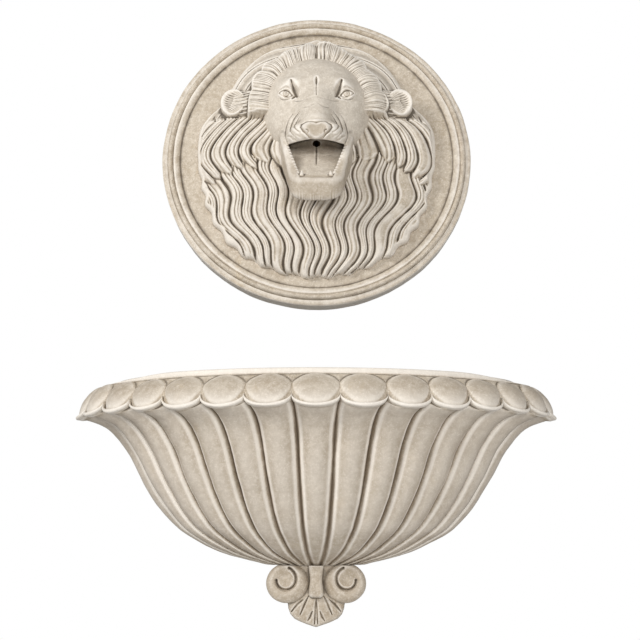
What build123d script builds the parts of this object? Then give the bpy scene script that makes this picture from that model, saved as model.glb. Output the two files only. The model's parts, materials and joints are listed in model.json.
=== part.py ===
"""Lion head wall fountain: a carved stone plaque above a fluted half-oval stone basin.

Millimetres. The wall is the plane y = 0 and the front faces -Y. The origin is on the wall,
on the fountain's centre line, at the level of the basin's lip. +Z is up.
"""

import math
import os

from build123d import *

# Plaque
plaque_radius = 320
plaque_height = 550
rim_depth = 45
rim_step_width = 11
rim_step_depth = 37
rim_bead_width = 17
rim_bead_rise = 5
rim_bead_bevel = 4
rim_cove_width = 9
field_depth = 34

# Mane and head of the lion, measured from the centre of the plaque
mane_half_width = 246
mane_half_height = 260
mane_edge_depth = 50
mane_crown_depth = 94
mane_facets = 30
relief_facets = 16
lock_groove_depth = 9
lock_groove_width = 6
lock_wave = 9
lock_rows_per_side = 8
lock_steps = 5
lock_first_turn = -88
lock_root_spread = 112
lock_tip_spread = 88
lock_root_reach = 0.36
lock_length = 0.68
lock_half_waves = 3
hair_stroke_count = 13
hair_stroke_width = 4
hair_stroke_depth = 6
mouth_back_depth = 97
nose_depth = 203
ear_spread = 173
ear_height = 99
eye_spread = 60
eye_height = 86
fang_spread = 34
fang_depth = 166
fang_foot = -112
fang_length = 28
fang_radius = 5

# Masses of the head, each as its half width and half height, then stations with the depth from the
# wall, the centre's x and height, and the share of the full size
mane_form = ((0.0, 1.0), (0.55, 0.87), (1.0, 0.62))
hair_form = (176, 142, (field_depth, 0, 88, 1.0), (90, 0, 90, 0.91), (116, 0, 90, 0.70))
skull_form = (
    116,
    113,
    (62, 0, 86, 1.0),
    (100, 0, 86, 0.91),
    (125, 0, 86, 0.74),
    (143, 0, 86, 0.51),
    (153, 0, 86, 0.25),
)
bridge_form = (48, 46, (110, 0, 70, 1.0), (152, 0, 84, 0.68), (nose_depth - 12, 0, 8, 0.58))
muzzle_form = (54, 58, (90, 0, 22, 0.93), (130, 0, 22, 0.95), (156, 0, 22, 0.65))
nose_form = (
    33,
    22,
    (nose_depth - 28, 0, -9, 1.0),
    (nose_depth - 12, 0, -10, 0.9),
    (nose_depth, 0, -9, 0.62),
)
cheek_form = (46, 50, (94, 44, 40, 1.0), (118, 44, 40, 0.85), (134, 44, 40, 0.49))
brow_form = (34, 18, (120, 42, 106, 1.0), (142, 42, 106, 0.78), (152, 42, 106, 0.42))
lip_form = (
    30,
    26,
    (120, 27, -12, 0.85),
    (148, 25, -12, 1.0),
    (nose_depth - 31, 25, -12, 0.82),
    (nose_depth - 17, 25, -12, 0.42),
)
socket_form = (
    23,
    14,
    (142, eye_spread, eye_height, 0.35),
    (152, eye_spread, eye_height, 0.87),
    (170, eye_spread, eye_height, 1.0),
)
eye_form = (
    13,
    10,
    (125, eye_spread, eye_height, 1.0),
    (141, eye_spread, eye_height, 0.8),
    (146, eye_spread, eye_height, 0.4),
)
ear_form = (
    27,
    31,
    (field_depth, ear_spread - 6, ear_height - 6, 1.0),
    (78, ear_spread, ear_height, 0.95),
    (89, ear_spread, ear_height, 0.66),
)
ear_hollow_form = (15, 18, (76, ear_spread, ear_height, 0.53), (94, ear_spread, ear_height, 1.0))
nostril_form = (7, 5, (nose_depth - 10, 15, -18, 0.43), (nose_depth + 4, 17, -20, 1.0))

# Cuts of the chisel in the face: the first and last point of each, its width and the depth of its floor
frown_form = ((51, 120), (38, 78), 5, 141)
furrow_form = ((0, 122), (0, 98), 4, 149)

# The jaw and the open mouth slope down from the spout. Their corners are given as a half width, the
# way along the slope from the spout, and the height square above it
mouth_slope = 51.7
jaw_form = ((66, -20, -40), (66, -20, 33), (64, 20, 33), (49, 130, 6), (49, 134, -10), (42, 122, -40))
mouth_form = ((47, -16, 12), (47, 2, -6), (36, 124, -6), (36, 121, 74))
tongue_form = ((26, 6, -8), (24, 84, -8), (13, 6, -2), (12, 80, -2))

# Basin
basin_half_width = 450
basin_depth = 275
lobe_count = 15
lobe_swell = 15
lobe_facets = 3
lip_thickness = 8
rim_height = 66
rim_inset = 38
hollow_facets = 14
bowl_wall = 42
rim_wall = 28
back_wall = 40
floor_level = -205
bowl_foot_level = -266

# Levels of the fluted underside below the lip, and its size there as a share of the rim
flare_form = ((-14, 0.915), (-32, 0.842))
bowl_form = ((-60, 0.780), (-110, 0.720), (-160, 0.652), (floor_level, 0.572))
foot_form = ((-245, 0.395), (bowl_foot_level, 0.190))
# The same for the convex eggs on top of the lip, with levels as shares of the rim's height
egg_form = ((0.12, 0.975), (0.45, 0.970), (0.72, 0.953))
egg_top = 0.92 * rim_height

# Corbel
corbel_height = 108
scroll_radius = 35
scroll_spread = 56
scroll_depth = 58
scroll_eye_radius = 18
scroll_groove_width = 4.5
scroll_groove_depth = 8
tongue_top_half_width = 12
tongue_foot_half_width = 15
tongue_foot_bevel = 7
tongue_depth = 68
leaf_half_width = 53
leaf_depth = 52
leaf_groove_width = 4
leaf_groove_depth = 6
leaf_ray_count = 5
leaf_drop = 20
leaf_shoulder_half_width = 36
leaf_shoulder_drop = 30
leaf_ray_root = 16
leaf_ray_start = 26
leaf_ray_length = 40
leaf_ray_turn = 30
scroll_groove_start = 80
scroll_groove_turn = 285

# Fixings: hanger rods have a thick end bonded in the stone and a thinner end for the wall
stone_clearance = 0.15
plaque_rod_radius = 5
plaque_rod_length = 80
plaque_rod_circle = 480
plaque_rod_count = 4
basin_rod_radius = 8
basin_rod_length = 110
basin_rod_spacing_x = 380
basin_rod_spacing_z = 140
basin_rod_level = -45
corbel_rod_radius = 5
corbel_rod_length = 70
rod_shoulder = 1.5
plaque_rod_embed = 24
basin_rod_embed = 30
corbel_rod_embed = 30
dowel_radius = 6
dowel_embed = 22
dowel_circle = 260
dowel_count = 4
corbel_dowel_inset = 24

# Spout
spout_radius = 7.5
spout_bore_radius = 6
spout_clearance = 0.5
collar_radius = 14
collar_thickness = 7
spigot_radius = 6.5
spigot_length = 45
nut_across_flats = 27
nut_thickness = 10
gasket_radius = 17
gasket_thickness = 3
nut_well_radius = 20
nut_well_depth = 16
thread_clearance = 0.1

# Hose grommet in the back wall of the basin
grommet_x = 95
grommet_level = 28
grommet_radius = 15
grommet_bore_radius = 10
grommet_flange_radius = 20
grommet_flange_thickness = 4

# Drain stopper in the floor of the basin
drain_x = 125
drain_y = -64
drain_depth = 20
waste_drop = 14
waste_bore_radius = 5
waste_socket_radius = 7
waste_socket_depth = 30
stopper_radius = 12
stopper_length = 10
stopper_clearance = 0.3
stopper_flange_radius = 17
stopper_flange_thickness = 3
stopper_stem_radius = 4.5
stopper_stem_length = 12
stopper_knob_radius = 9
stopper_knob_thickness = 4

# Pump, lying on the floor of the basin with its shaft along X
pump_y = -70
pump_back_x = -48
pump_body_length = 58
pump_width = 46
pump_body_height = 50
pump_corner = 7
pump_foot_height = 6
pump_foot_radius = 7
pump_foot_inset = 10
pump_foot_neck_radius = 2.5
pump_foot_neck_length = 4
cover_length = 24
cover_front = 6
chamber_radius = 19
well_radius = 11
well_length = 38
rotor_radius = 10
rotor_length = 33
rotor_end_gap = 2
impeller_radius = 16.5
impeller_plate = 2
impeller_face_gap = 1
blade_height = 9
blade_thickness = 1.6
blade_count = 6
hub_radius = 4
shaft_radius = 1.5
shaft_clearance = 0.05
bush_radius = 4
bush_length = 4
bush_clearance = 0.05
intake_slot_count = 8
intake_slot_width = 3
intake_slot_length = 8
intake_slot_circle = 24
dial_radius = 19
dial_thickness = 3
dial_boss_radius = 5
dial_boss_head_radius = 6.5
dial_boss_head = 1.5
dial_clearance = 0.2
dial_lug_length = 4
dial_lug_width = 6
barb_radius = 6.5
barb_bore_radius = 4.5
barb_length = 26
barb_flange_radius = 9
barb_flange_thickness = 3
barb_seat_radius = 5.5
barb_seat_depth = 3
gland_radius = 7
gland_body_radius = 6
gland_body_length = 8
gland_tip_radius = 4.5
gland_length = 15
gland_bore_radius = 3
gland_seat_depth = 4

os.makedirs("parts", exist_ok=True)


def front_plane(depth):
    """A plane facing the viewer, with its origin on the plaque's axis, so far out from the wall."""
    return Plane(origin=(0, -depth, plaque_height), x_dir=(1, 0, 0), z_dir=(0, -1, 0))


def oval_points(half_width, half_height, count, start=0.0, turn=360.0):
    """Points along an oval, or part of one from a start angle through a turn, in degrees."""
    angles = [math.radians(start + turn * k / count) for k in range(count + 1)]
    return [(half_width * math.cos(angle), half_height * math.sin(angle)) for angle in angles]


def relief(half_width, half_height, *stations, side=1, facets=relief_facets):
    """A carved mass that rises towards the viewer, as the faceted hull of a stack of ovals.

    Each station is its depth, the oval's centre x and height, and its share of the full size.
    """
    points = []
    for depth, x, height, share in stations:
        for across, up in oval_points(half_width, half_height, facets)[:-1]:
            points.append((side * x + across * share, -depth, plaque_height + height + up * share))
    with BuildPart() as mass:
        ConvexPolyhedron(points, align=None)
    return mass.part


def sloped_mass(form):
    """A faceted hull, the same on both sides, from corners given along and above the mouth's slope."""
    slope = math.radians(mouth_slope)
    points = []
    for half_width, along, above in form:
        depth = mouth_back_depth + along * math.cos(slope) + above * math.sin(slope)
        height = above * math.cos(slope) - along * math.sin(slope) - spout_radius - spout_clearance
        for side in (-1, 1):
            points.append((side * half_width, -depth, plaque_height + height))
    with BuildPart() as mass:
        ConvexPolyhedron(points, align=None)
    return mass.part


def hanger_rod(name, places, radius, length, embed):
    """Wall rods: a bonded thick end inside the stone and a thinner end standing out of its back."""
    with BuildPart() as rods:
        for x, z in places:
            with Locations(Location((x, -embed, z), (-90, 0, 0))):
                Cylinder(radius + rod_shoulder, embed, align=(Align.CENTER, Align.CENTER, Align.MIN))
            with Locations(Location((x, 0, z), (-90, 0, 0))):
                Cylinder(radius, length, align=(Align.CENTER, Align.CENTER, Align.MIN))
    rods.part.label = name
    export_step(rods.part, f"parts/{name}.step")


def rod_holes(places, radius, embed):
    """Blind holes for hanger rods, cut into the back of the part being built."""
    for x, z in places:
        with Locations(Location((x, 0, z), (90, 0, 0))):
            Cylinder(
                radius + rod_shoulder + stone_clearance,
                embed + stone_clearance,
                align=(Align.CENTER, Align.CENTER, Align.MIN),
                mode=Mode.SUBTRACT,
            )


def on_circle(diameter, count, height):
    """Places as x and z, evenly round a circle on the wall, starting between the axes."""
    turns = [2 * math.pi * (k + 0.5) / count for k in range(count)]
    return [(diameter / 2 * math.cos(t), height + diameter / 2 * math.sin(t)) for t in turns]


plaque_rod_places = on_circle(plaque_rod_circle, plaque_rod_count, plaque_height)
dowel_places = on_circle(dowel_circle, dowel_count, plaque_height)
basin_rod_places = [
    (side * basin_rod_spacing_x / 2, basin_rod_level + row * basin_rod_spacing_z / 2)
    for side in (-1, 1)
    for row in (-1, 1)
]
corbel_rod_places = [(0, bowl_foot_level - corbel_height / 2)]

# Plaque disc: a turned profile with a stepped and beaded rim round a flat field
with BuildPart() as plaque_disc:
    with BuildSketch(Plane.XY.offset(plaque_height)):
        with BuildLine():
            bead_outer = plaque_radius - rim_step_width
            bead_inner = bead_outer - rim_bead_width
            cove_inner = bead_inner - rim_cove_width
            shoulder = rim_depth - rim_bead_rise
            Polyline(
                (0, -field_depth),
                (0, 0),
                (plaque_radius, 0),
                (plaque_radius, -rim_step_depth),
                (bead_outer, -rim_step_depth),
                (bead_outer, -shoulder),
                (bead_outer - rim_bead_bevel, -rim_depth),
                (bead_inner + rim_bead_bevel, -rim_depth),
                (bead_inner, -shoulder),
                (cove_inner, -field_depth),
                (0, -field_depth),
            )
        make_face()
    revolve(axis=Axis((0, 0, plaque_height), (0, 1, 0)))
    with Locations(Location((0, 0, plaque_height), (90, 0, 0))):
        Cylinder(
            spout_radius + spout_clearance,
            field_depth,
            align=(Align.CENTER, Align.CENTER, Align.MIN),
            mode=Mode.SUBTRACT,
        )
        Cylinder(
            nut_well_radius,
            nut_well_depth,
            align=(Align.CENTER, Align.CENTER, Align.MIN),
            mode=Mode.SUBTRACT,
        )
    with Locations(Location((0, -field_depth, plaque_height), (-90, 0, 0))):
        Cylinder(
            collar_radius + spout_clearance,
            collar_thickness,
            align=(Align.CENTER, Align.CENTER, Align.MIN),
            mode=Mode.SUBTRACT,
        )
    for x, z in dowel_places:
        with Locations(Location((x, -field_depth, z), (-90, 0, 0))):
            Cylinder(
                dowel_radius + stone_clearance,
                dowel_embed + stone_clearance,
                align=(Align.CENTER, Align.CENTER, Align.MIN),
                mode=Mode.SUBTRACT,
            )
    rod_holes(plaque_rod_places, plaque_rod_radius, plaque_rod_embed)
plaque_disc.part.label = "plaque_disc"
export_step(plaque_disc.part, "parts/plaque_disc.step")


def mane_dome(drop):
    """The mane's bulk: a low dome of stacked ovals, sunk by a given drop from its full height."""
    rise = mane_crown_depth - mane_edge_depth
    foot = (field_depth, 0, 0, 1.0)
    stations = [(mane_edge_depth + up * rise - drop, 0, 0, share) for up, share in mane_form]
    return relief(mane_half_width, mane_half_height, foot, *stations, facets=mane_facets)


def lock_path(along):
    """Points down one lock of the mane, which leaves the cheek and falls in waves to the mane's edge."""
    start_turn = math.radians(lock_first_turn + lock_root_spread * along)
    end_turn = math.radians(lock_first_turn + lock_tip_spread * along)
    points = []
    for step in range(lock_steps + 1):
        t = step / lock_steps
        turn = start_turn + (end_turn - start_turn) * t
        reach = lock_root_reach + lock_length * t
        wave = lock_wave * math.sin(lock_half_waves * math.pi * t)
        x = mane_half_width * reach * math.cos(turn) - wave * math.sin(turn)
        z = mane_half_height * reach * math.sin(turn) + wave * math.cos(turn)
        points.append((x, z))
    return points


# Grooves between the wavy locks, as one thick cutter through the mane
with BuildPart() as lock_grooves:
    with BuildSketch(front_plane(field_depth)):
        for row in range(lock_rows_per_side):
            path = lock_path((row + 0.5) / lock_rows_per_side)
            for side in (-1, 1):
                with BuildLine():
                    Polyline([(side * x, z) for x, z in path])
                trace(line_width=lock_groove_width)
    extrude(amount=mane_crown_depth)

with BuildPart() as mane_locks:
    add(mane_dome(0))
    add(lock_grooves.part, mode=Mode.SUBTRACT)


def brow_hair(drop):
    """The hair that frames the face, sunk by a given drop from its full height."""
    half_width, half_height, foot, *stations = hair_form
    sunk = [(depth - drop, x, height, share) for depth, x, height, share in stations]
    return relief(half_width - drop, half_height - drop, foot, *sunk)


# Short straight strokes of hair round the brow
with BuildPart() as hair_strokes:
    with BuildSketch(front_plane(field_depth)):
        for stroke in range(hair_stroke_count):
            turn = 180 * stroke / (hair_stroke_count - 1)
            reach = mane_half_width / 2
            x = reach * math.cos(math.radians(turn))
            z = reach * math.sin(math.radians(turn))
            with Locations(Location((x, eye_height + z), turn)):
                Rectangle(reach, hair_stroke_width)
    extrude(amount=nose_depth)

with BuildPart() as brow_locks:
    add(brow_hair(0))
    add(hair_strokes.part, mode=Mode.SUBTRACT)

cheeks, brows, lips, sockets, eyes, ears, ear_hollows, nostrils = [], [], [], [], [], [], [], []
for side in (-1, 1):
    cheeks.append(relief(*cheek_form, side=side))
    brows.append(relief(*brow_form, side=side))
    lips.append(relief(*lip_form, side=side))
    sockets.append(relief(*socket_form, side=side))
    eyes.append(relief(*eye_form, side=side))
    ears.append(relief(*ear_form, side=side))
    ear_hollows.append(relief(*ear_hollow_form, side=side))
    nostrils.append(relief(*nostril_form, side=side))

# Chisel cuts: a frown beside each eye and a furrow in the forehead
with BuildPart() as face_cuts:
    for (top, foot, width, depth), sides in ((frown_form, (-1, 1)), (furrow_form, (1,))):
        with BuildSketch(front_plane(depth)):
            for side in sides:
                with BuildLine():
                    Line((side * top[0], top[1]), (side * foot[0], foot[1]))
                trace(line_width=width)
        extrude(amount=nose_depth)

# Lion mask: mane, brow hair and head carved as one stone
with BuildPart() as lion_mask:
    add([mane_dome(lock_groove_depth), mane_locks.part, brow_hair(hair_stroke_depth), brow_locks.part])
    add(ears)
    add(ear_hollows, mode=Mode.SUBTRACT)
    add([relief(*skull_form), relief(*muzzle_form), relief(*bridge_form)] + cheeks + brows + lips)
    add([face_cuts.part] + sockets, mode=Mode.SUBTRACT)
    add([relief(*nose_form)] + eyes)
    # Lower jaw, the open mouth that ramps up to the spout, and what shows in it
    add(sloped_mass(jaw_form))
    add(sloped_mass(mouth_form), mode=Mode.SUBTRACT)
    add(nostrils, mode=Mode.SUBTRACT)
    add(sloped_mass(tongue_form))
    for side in (-1, 1):
        with Locations((side * fang_spread, -fang_depth, plaque_height + fang_foot)):
            Cylinder(fang_radius, fang_length, align=(Align.CENTER, Align.CENTER, Align.MIN))
    # Spout bore and dowel holes
    with Locations(Location((0, -field_depth, plaque_height), (90, 0, 0))):
        Cylinder(
            spout_radius + spout_clearance,
            mouth_back_depth,
            align=(Align.CENTER, Align.CENTER, Align.MIN),
            mode=Mode.SUBTRACT,
        )
    for x, z in dowel_places:
        with Locations(Location((x, -field_depth, z), (90, 0, 0))):
            Cylinder(
                dowel_radius + stone_clearance,
                dowel_embed + stone_clearance,
                align=(Align.CENTER, Align.CENTER, Align.MIN),
                mode=Mode.SUBTRACT,
            )
lion_mask.part.label = "lion_mask"
export_step(lion_mask.part, "parts/lion_mask.step")

# Dowels between the plaque disc and the mask
with BuildPart() as mask_dowels:
    for x, z in dowel_places:
        with Locations(Location((x, -field_depth, z), (90, 0, 0))):
            Cylinder(dowel_radius, 2 * dowel_embed)
mask_dowels.part.label = "mask_dowels"
export_step(mask_dowels.part, "parts/mask_dowels.step")

hanger_rod(
    "plaque_anchor_rods", plaque_rod_places, plaque_rod_radius, plaque_rod_length, plaque_rod_embed
)

# Spout tube: a collar seats on the disc's face, a nut draws it tight from the back, a spigot takes the hose
with BuildPart() as spout_tube:
    with BuildSketch(Plane.XY.offset(plaque_height)):
        with BuildLine():
            Polyline(
                (spout_bore_radius, -mouth_back_depth),
                (spout_radius, -mouth_back_depth),
                (spout_radius, -field_depth),
                (collar_radius, -field_depth),
                (collar_radius, collar_thickness - field_depth),
                (spout_radius, collar_thickness - field_depth),
                (spout_radius, 0),
                (spigot_radius, 0),
                (spigot_radius, spigot_length),
                (spigot_radius - (spout_radius - spout_bore_radius), spigot_length),
                (spigot_radius - (spout_radius - spout_bore_radius), 0),
                (spout_bore_radius, 0),
                close=True,
            )
        make_face()
    revolve(axis=Axis((0, 0, plaque_height), (0, 1, 0)))
spout_tube.part.label = "spout_tube"
export_step(spout_tube.part, "parts/spout_tube.step")

with BuildPart() as spout_gasket:
    with BuildSketch(front_plane(nut_well_depth - gasket_thickness)):
        Circle(gasket_radius)
        Circle(spout_radius + thread_clearance, mode=Mode.SUBTRACT)
    extrude(amount=gasket_thickness)
spout_gasket.part.label = "spout_gasket"
export_step(spout_gasket.part, "parts/spout_gasket.step")

with BuildPart() as spout_locknut:
    with BuildSketch(front_plane(nut_well_depth - gasket_thickness - nut_thickness)):
        RegularPolygon(nut_across_flats / 2, 6, major_radius=False)
        Circle(spout_radius + thread_clearance, mode=Mode.SUBTRACT)
    extrude(amount=nut_thickness)
spout_locknut.part.label = "spout_locknut"
export_step(spout_locknut.part, "parts/spout_locknut.step")

# Basin: cusps between the lobes lie evenly along a half oval
cusp_depth = basin_depth - lobe_swell
cusp_oval = EllipticalCenterArc((0, 0), basin_half_width, cusp_depth, 180, arc_size=180)
cusps = [cusp_oval @ (k / lobe_count) for k in range(lobe_count + 1)]
lobe_width = cusp_oval.length / lobe_count
lip_swell = lobe_swell / lobe_width
rim_share = 1 - rim_inset / basin_half_width
egg_stations = [(up * rim_height, share) for up, share in egg_form] + [(egg_top, rim_share)]


def lobed_section(height, share):
    """A half-oval outline with one outward bow for each lobe, and a straight back on the wall."""
    points = []
    for left, right in zip(cusps, cusps[1:]):
        chord = (right - left) * share
        outward = Vector(chord.Y, -chord.X, 0)
        for facet in range(lobe_facets):
            t = facet / lobe_facets
            point = left * share + chord * t + outward * lip_swell * 4 * t * (1 - t)
            points.append((point.X, point.Y))
    points.append((cusps[-1].X * share, cusps[-1].Y * share))
    with BuildSketch(Plane.XY.offset(height)) as section:
        Polygon(points, align=None)
    return section.sketch


def half_oval(height, half_width, depth, back):
    """A plain half oval with its straight side a given distance in front of the wall."""
    points = oval_points(half_width, depth - back, hollow_facets, 180, 180)
    with BuildSketch(Plane.XY.offset(height)) as section:
        Polygon([(x, y - back) for x, y in points], align=None)
    return section.sketch


def hollow_section(height, share, wall):
    """The outline of the hollow at one height, inside the outline of the stone by its wall."""
    return half_oval(height, basin_half_width * share - wall, cusp_depth * share - wall, back_wall)


with BuildPart() as basin_bowl:
    flute_stations = ((0, 1.0),) + flare_form + bowl_form + foot_form
    loft([lobed_section(*station) for station in flute_stations], ruled=True)
    extrude(lobed_section(0, 1.0), amount=lip_thickness)
    loft([lobed_section(*station) for station in egg_stations], ruled=True)
    extrude(
        half_oval(egg_top, basin_half_width * rim_share, cusp_depth * rim_share, 0),
        amount=rim_height - egg_top,
    )
    # Hollow for the water, down to a flat floor for the pump
    loft(
        [hollow_section(rim_height, rim_share, rim_wall)]
        + [hollow_section(height, share, bowl_wall) for height, share in bowl_form],
        ruled=True,
        mode=Mode.SUBTRACT,
    )
    # Drain in the floor with its waste bore to the wall, hose hole through the back, and holes for the
    # rods and the corbel's dowel
    with Locations((drain_x, drain_y, floor_level)):
        Cylinder(
            stopper_radius + stopper_clearance,
            drain_depth,
            align=(Align.CENTER, Align.CENTER, Align.MAX),
            mode=Mode.SUBTRACT,
        )
    with Locations(Location((drain_x, 0, floor_level - waste_drop), (90, 0, 0))):
        for radius, depth in ((waste_bore_radius, -drain_y), (waste_socket_radius, waste_socket_depth)):
            Cylinder(
                radius,
                depth,
                align=(Align.CENTER, Align.CENTER, Align.MIN),
                mode=Mode.SUBTRACT,
            )
    with Locations(Location((grommet_x, 0, grommet_level), (90, 0, 0))):
        Cylinder(
            grommet_radius + stone_clearance,
            back_wall,
            align=(Align.CENTER, Align.CENTER, Align.MIN),
            mode=Mode.SUBTRACT,
        )
    with Locations((0, -corbel_dowel_inset, bowl_foot_level)):
        Cylinder(
            dowel_radius + stone_clearance,
            dowel_embed + stone_clearance,
            align=(Align.CENTER, Align.CENTER, Align.MIN),
            mode=Mode.SUBTRACT,
        )
    rod_holes(basin_rod_places, basin_rod_radius, basin_rod_embed)
basin_bowl.part.label = "basin_bowl"
export_step(basin_bowl.part, "parts/basin_bowl.step")

hanger_rod("basin_anchor_rods", basin_rod_places, basin_rod_radius, basin_rod_length, basin_rod_embed)

# Rubber grommet that lines the hose hole, with its flange inside the basin
with BuildPart() as hose_grommet:
    with BuildSketch(Plane.XY.offset(grommet_level)):
        with BuildLine():
            Polyline(
                (grommet_x + grommet_bore_radius, 0),
                (grommet_x + grommet_radius, 0),
                (grommet_x + grommet_radius, -back_wall),
                (grommet_x + grommet_flange_radius, -back_wall),
                (grommet_x + grommet_flange_radius, -back_wall - grommet_flange_thickness),
                (grommet_x + grommet_bore_radius, -back_wall - grommet_flange_thickness),
                close=True,
            )
        make_face()
    revolve(axis=Axis((grommet_x, 0, grommet_level), (0, 1, 0)))
hose_grommet.part.label = "hose_grommet"
export_step(hose_grommet.part, "parts/hose_grommet.step")

# Rubber drain stopper: a plug, a flange on the floor, and a stem with a pull knob
with BuildPart() as drain_stopper:
    with Locations((drain_x, drain_y, floor_level)):
        Cylinder(stopper_radius, stopper_length, align=(Align.CENTER, Align.CENTER, Align.MAX))
        Cylinder(
            stopper_flange_radius,
            stopper_flange_thickness,
            align=(Align.CENTER, Align.CENTER, Align.MIN),
        )
        Cylinder(stopper_stem_radius, stopper_stem_length, align=(Align.CENTER, Align.CENTER, Align.MIN))
    with Locations((drain_x, drain_y, floor_level + stopper_stem_length)):
        Cylinder(stopper_knob_radius, stopper_knob_thickness, align=(Align.CENTER, Align.CENTER, Align.MIN))
drain_stopper.part.label = "drain_stopper"
export_step(drain_stopper.part, "parts/drain_stopper.step")

# Corbel under the bowl: a pair of volutes, a tongue between them and a fan-shaped leaf below
scroll_level = bowl_foot_level - scroll_radius
leaf_level = scroll_level - leaf_drop
corbel_foot = bowl_foot_level - corbel_height


def wall_plane(depth, level):
    """A plane facing the viewer at a given level on the centre line, so far out from the wall."""
    return Plane(origin=(0, -depth, level), x_dir=(1, 0, 0), z_dir=(0, -1, 0))


with BuildPart() as corbel:
    with BuildSketch(wall_plane(0, scroll_level)):
        with Locations((scroll_spread, 0), (-scroll_spread, 0)):
            Circle(scroll_radius)
    extrude(amount=scroll_depth)
    with BuildSketch(wall_plane(0, scroll_level)):
        Rectangle(2 * scroll_spread, 2 * scroll_radius)
    extrude(amount=leaf_depth - leaf_groove_depth)
    with BuildSketch(wall_plane(0, leaf_level)):
        with BuildLine():
            reach = leaf_level - corbel_foot
            Line((leaf_half_width, 0), (-leaf_half_width, 0))
            for side in (-1, 1):
                shoulder = (side * leaf_shoulder_half_width, -leaf_shoulder_drop)
                ThreePointArc((side * leaf_half_width, 0), shoulder, (0, -reach))
        make_face()
    extrude(amount=leaf_depth)
    # Spiral of each volute and the rays of the leaf
    with BuildSketch(wall_plane(scroll_depth - scroll_groove_depth, scroll_level)):
        for side in (-1, 1):
            with BuildLine():
                start = 90 - side * (90 - scroll_groove_start)
                CenterArc((side * scroll_spread, 0), scroll_eye_radius, start, side * scroll_groove_turn)
            trace(line_width=scroll_groove_width)
    extrude(amount=tongue_depth, mode=Mode.SUBTRACT)
    with BuildSketch(wall_plane(leaf_depth - leaf_groove_depth, leaf_level)):
        for ray in range(leaf_ray_count):
            turn = -leaf_ray_turn - (180 - 2 * leaf_ray_turn) * ray / (leaf_ray_count - 1)
            with Locations(Location((0, leaf_ray_root), turn)):
                with Locations((leaf_ray_start + leaf_ray_length / 2, 0)):
                    Rectangle(leaf_ray_length, leaf_groove_width)
    extrude(amount=tongue_depth, mode=Mode.SUBTRACT)
    with BuildSketch(wall_plane(0, scroll_level)):
        with BuildLine():
            Polyline(
                (-tongue_top_half_width, scroll_radius),
                (tongue_top_half_width, scroll_radius),
                (tongue_foot_half_width, tongue_foot_bevel - scroll_radius),
                (tongue_foot_half_width - tongue_foot_bevel, -scroll_radius),
                (tongue_foot_bevel - tongue_foot_half_width, -scroll_radius),
                (-tongue_foot_half_width, tongue_foot_bevel - scroll_radius),
                close=True,
            )
        make_face()
    extrude(amount=tongue_depth)
    with Locations((0, -corbel_dowel_inset, bowl_foot_level)):
        Cylinder(
            dowel_radius + stone_clearance,
            dowel_embed + stone_clearance,
            align=(Align.CENTER, Align.CENTER, Align.MAX),
            mode=Mode.SUBTRACT,
        )
    rod_holes(corbel_rod_places, corbel_rod_radius, corbel_rod_embed)
corbel.part.label = "corbel"
export_step(corbel.part, "parts/corbel.step")

with BuildPart() as corbel_dowel:
    with Locations((0, -corbel_dowel_inset, bowl_foot_level)):
        Cylinder(dowel_radius, 2 * dowel_embed)
corbel_dowel.part.label = "corbel_dowel"
export_step(corbel_dowel.part, "parts/corbel_dowel.step")

hanger_rod("corbel_anchor_rod", corbel_rod_places, corbel_rod_radius, corbel_rod_length, corbel_rod_embed)

# Pump: its shaft lies along X at this level
pump_base = floor_level + pump_foot_height
pump_axis_level = pump_base + pump_body_height / 2
pump_face_x = pump_back_x + pump_body_length
cover_face_x = pump_face_x + cover_length
chamber_end_x = cover_face_x - cover_front


def shaft_plane(x):
    """A plane square to the pump's shaft at a given x, facing along the shaft."""
    return Plane(origin=(x, pump_y, pump_axis_level), x_dir=(0, 1, 0), z_dir=(1, 0, 0))


foot_places = [
    (x, pump_y + side * (pump_width / 2 - pump_foot_inset))
    for x in (pump_back_x + pump_foot_inset, pump_face_x - pump_foot_inset)
    for side in (-1, 1)
]

with BuildPart() as pump_housing:
    with BuildSketch(shaft_plane(pump_back_x)):
        RectangleRounded(pump_width, pump_body_height, pump_corner)
    extrude(amount=pump_body_length)
    with BuildSketch(shaft_plane(pump_face_x)):
        Circle(well_radius)
    extrude(amount=-well_length, mode=Mode.SUBTRACT)
    with BuildSketch(shaft_plane(pump_face_x - well_length)):
        Circle(bush_radius + bush_clearance)
    extrude(amount=-bush_length, mode=Mode.SUBTRACT)
    with BuildSketch(shaft_plane(pump_back_x)):
        Circle(gland_radius + bush_clearance)
    extrude(amount=gland_seat_depth, mode=Mode.SUBTRACT)
    for x, y in foot_places:
        with Locations((x, y, pump_base)):
            Cylinder(
                pump_foot_neck_radius + bush_clearance,
                pump_foot_neck_length + bush_clearance,
                align=(Align.CENTER, Align.CENTER, Align.MIN),
                mode=Mode.SUBTRACT,
            )
pump_housing.part.label = "pump_housing"
export_step(pump_housing.part, "parts/pump_housing.step")

with BuildPart() as pump_feet:
    for x, y in foot_places:
        with Locations((x, y, floor_level)):
            Cylinder(
                pump_foot_radius,
                pump_foot_height,
                align=(Align.CENTER, Align.CENTER, Align.MIN),
            )
        with Locations((x, y, pump_base)):
            Cylinder(
                pump_foot_neck_radius,
                pump_foot_neck_length,
                align=(Align.CENTER, Align.CENTER, Align.MIN),
            )
pump_feet.part.label = "pump_feet"
export_step(pump_feet.part, "parts/pump_feet.step")

# Where water leaves the chamber, on top of the cover
outlet_x = pump_face_x + (cover_length - cover_front) / 2 + impeller_plate
cover_top = pump_axis_level + pump_body_height / 2

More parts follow.
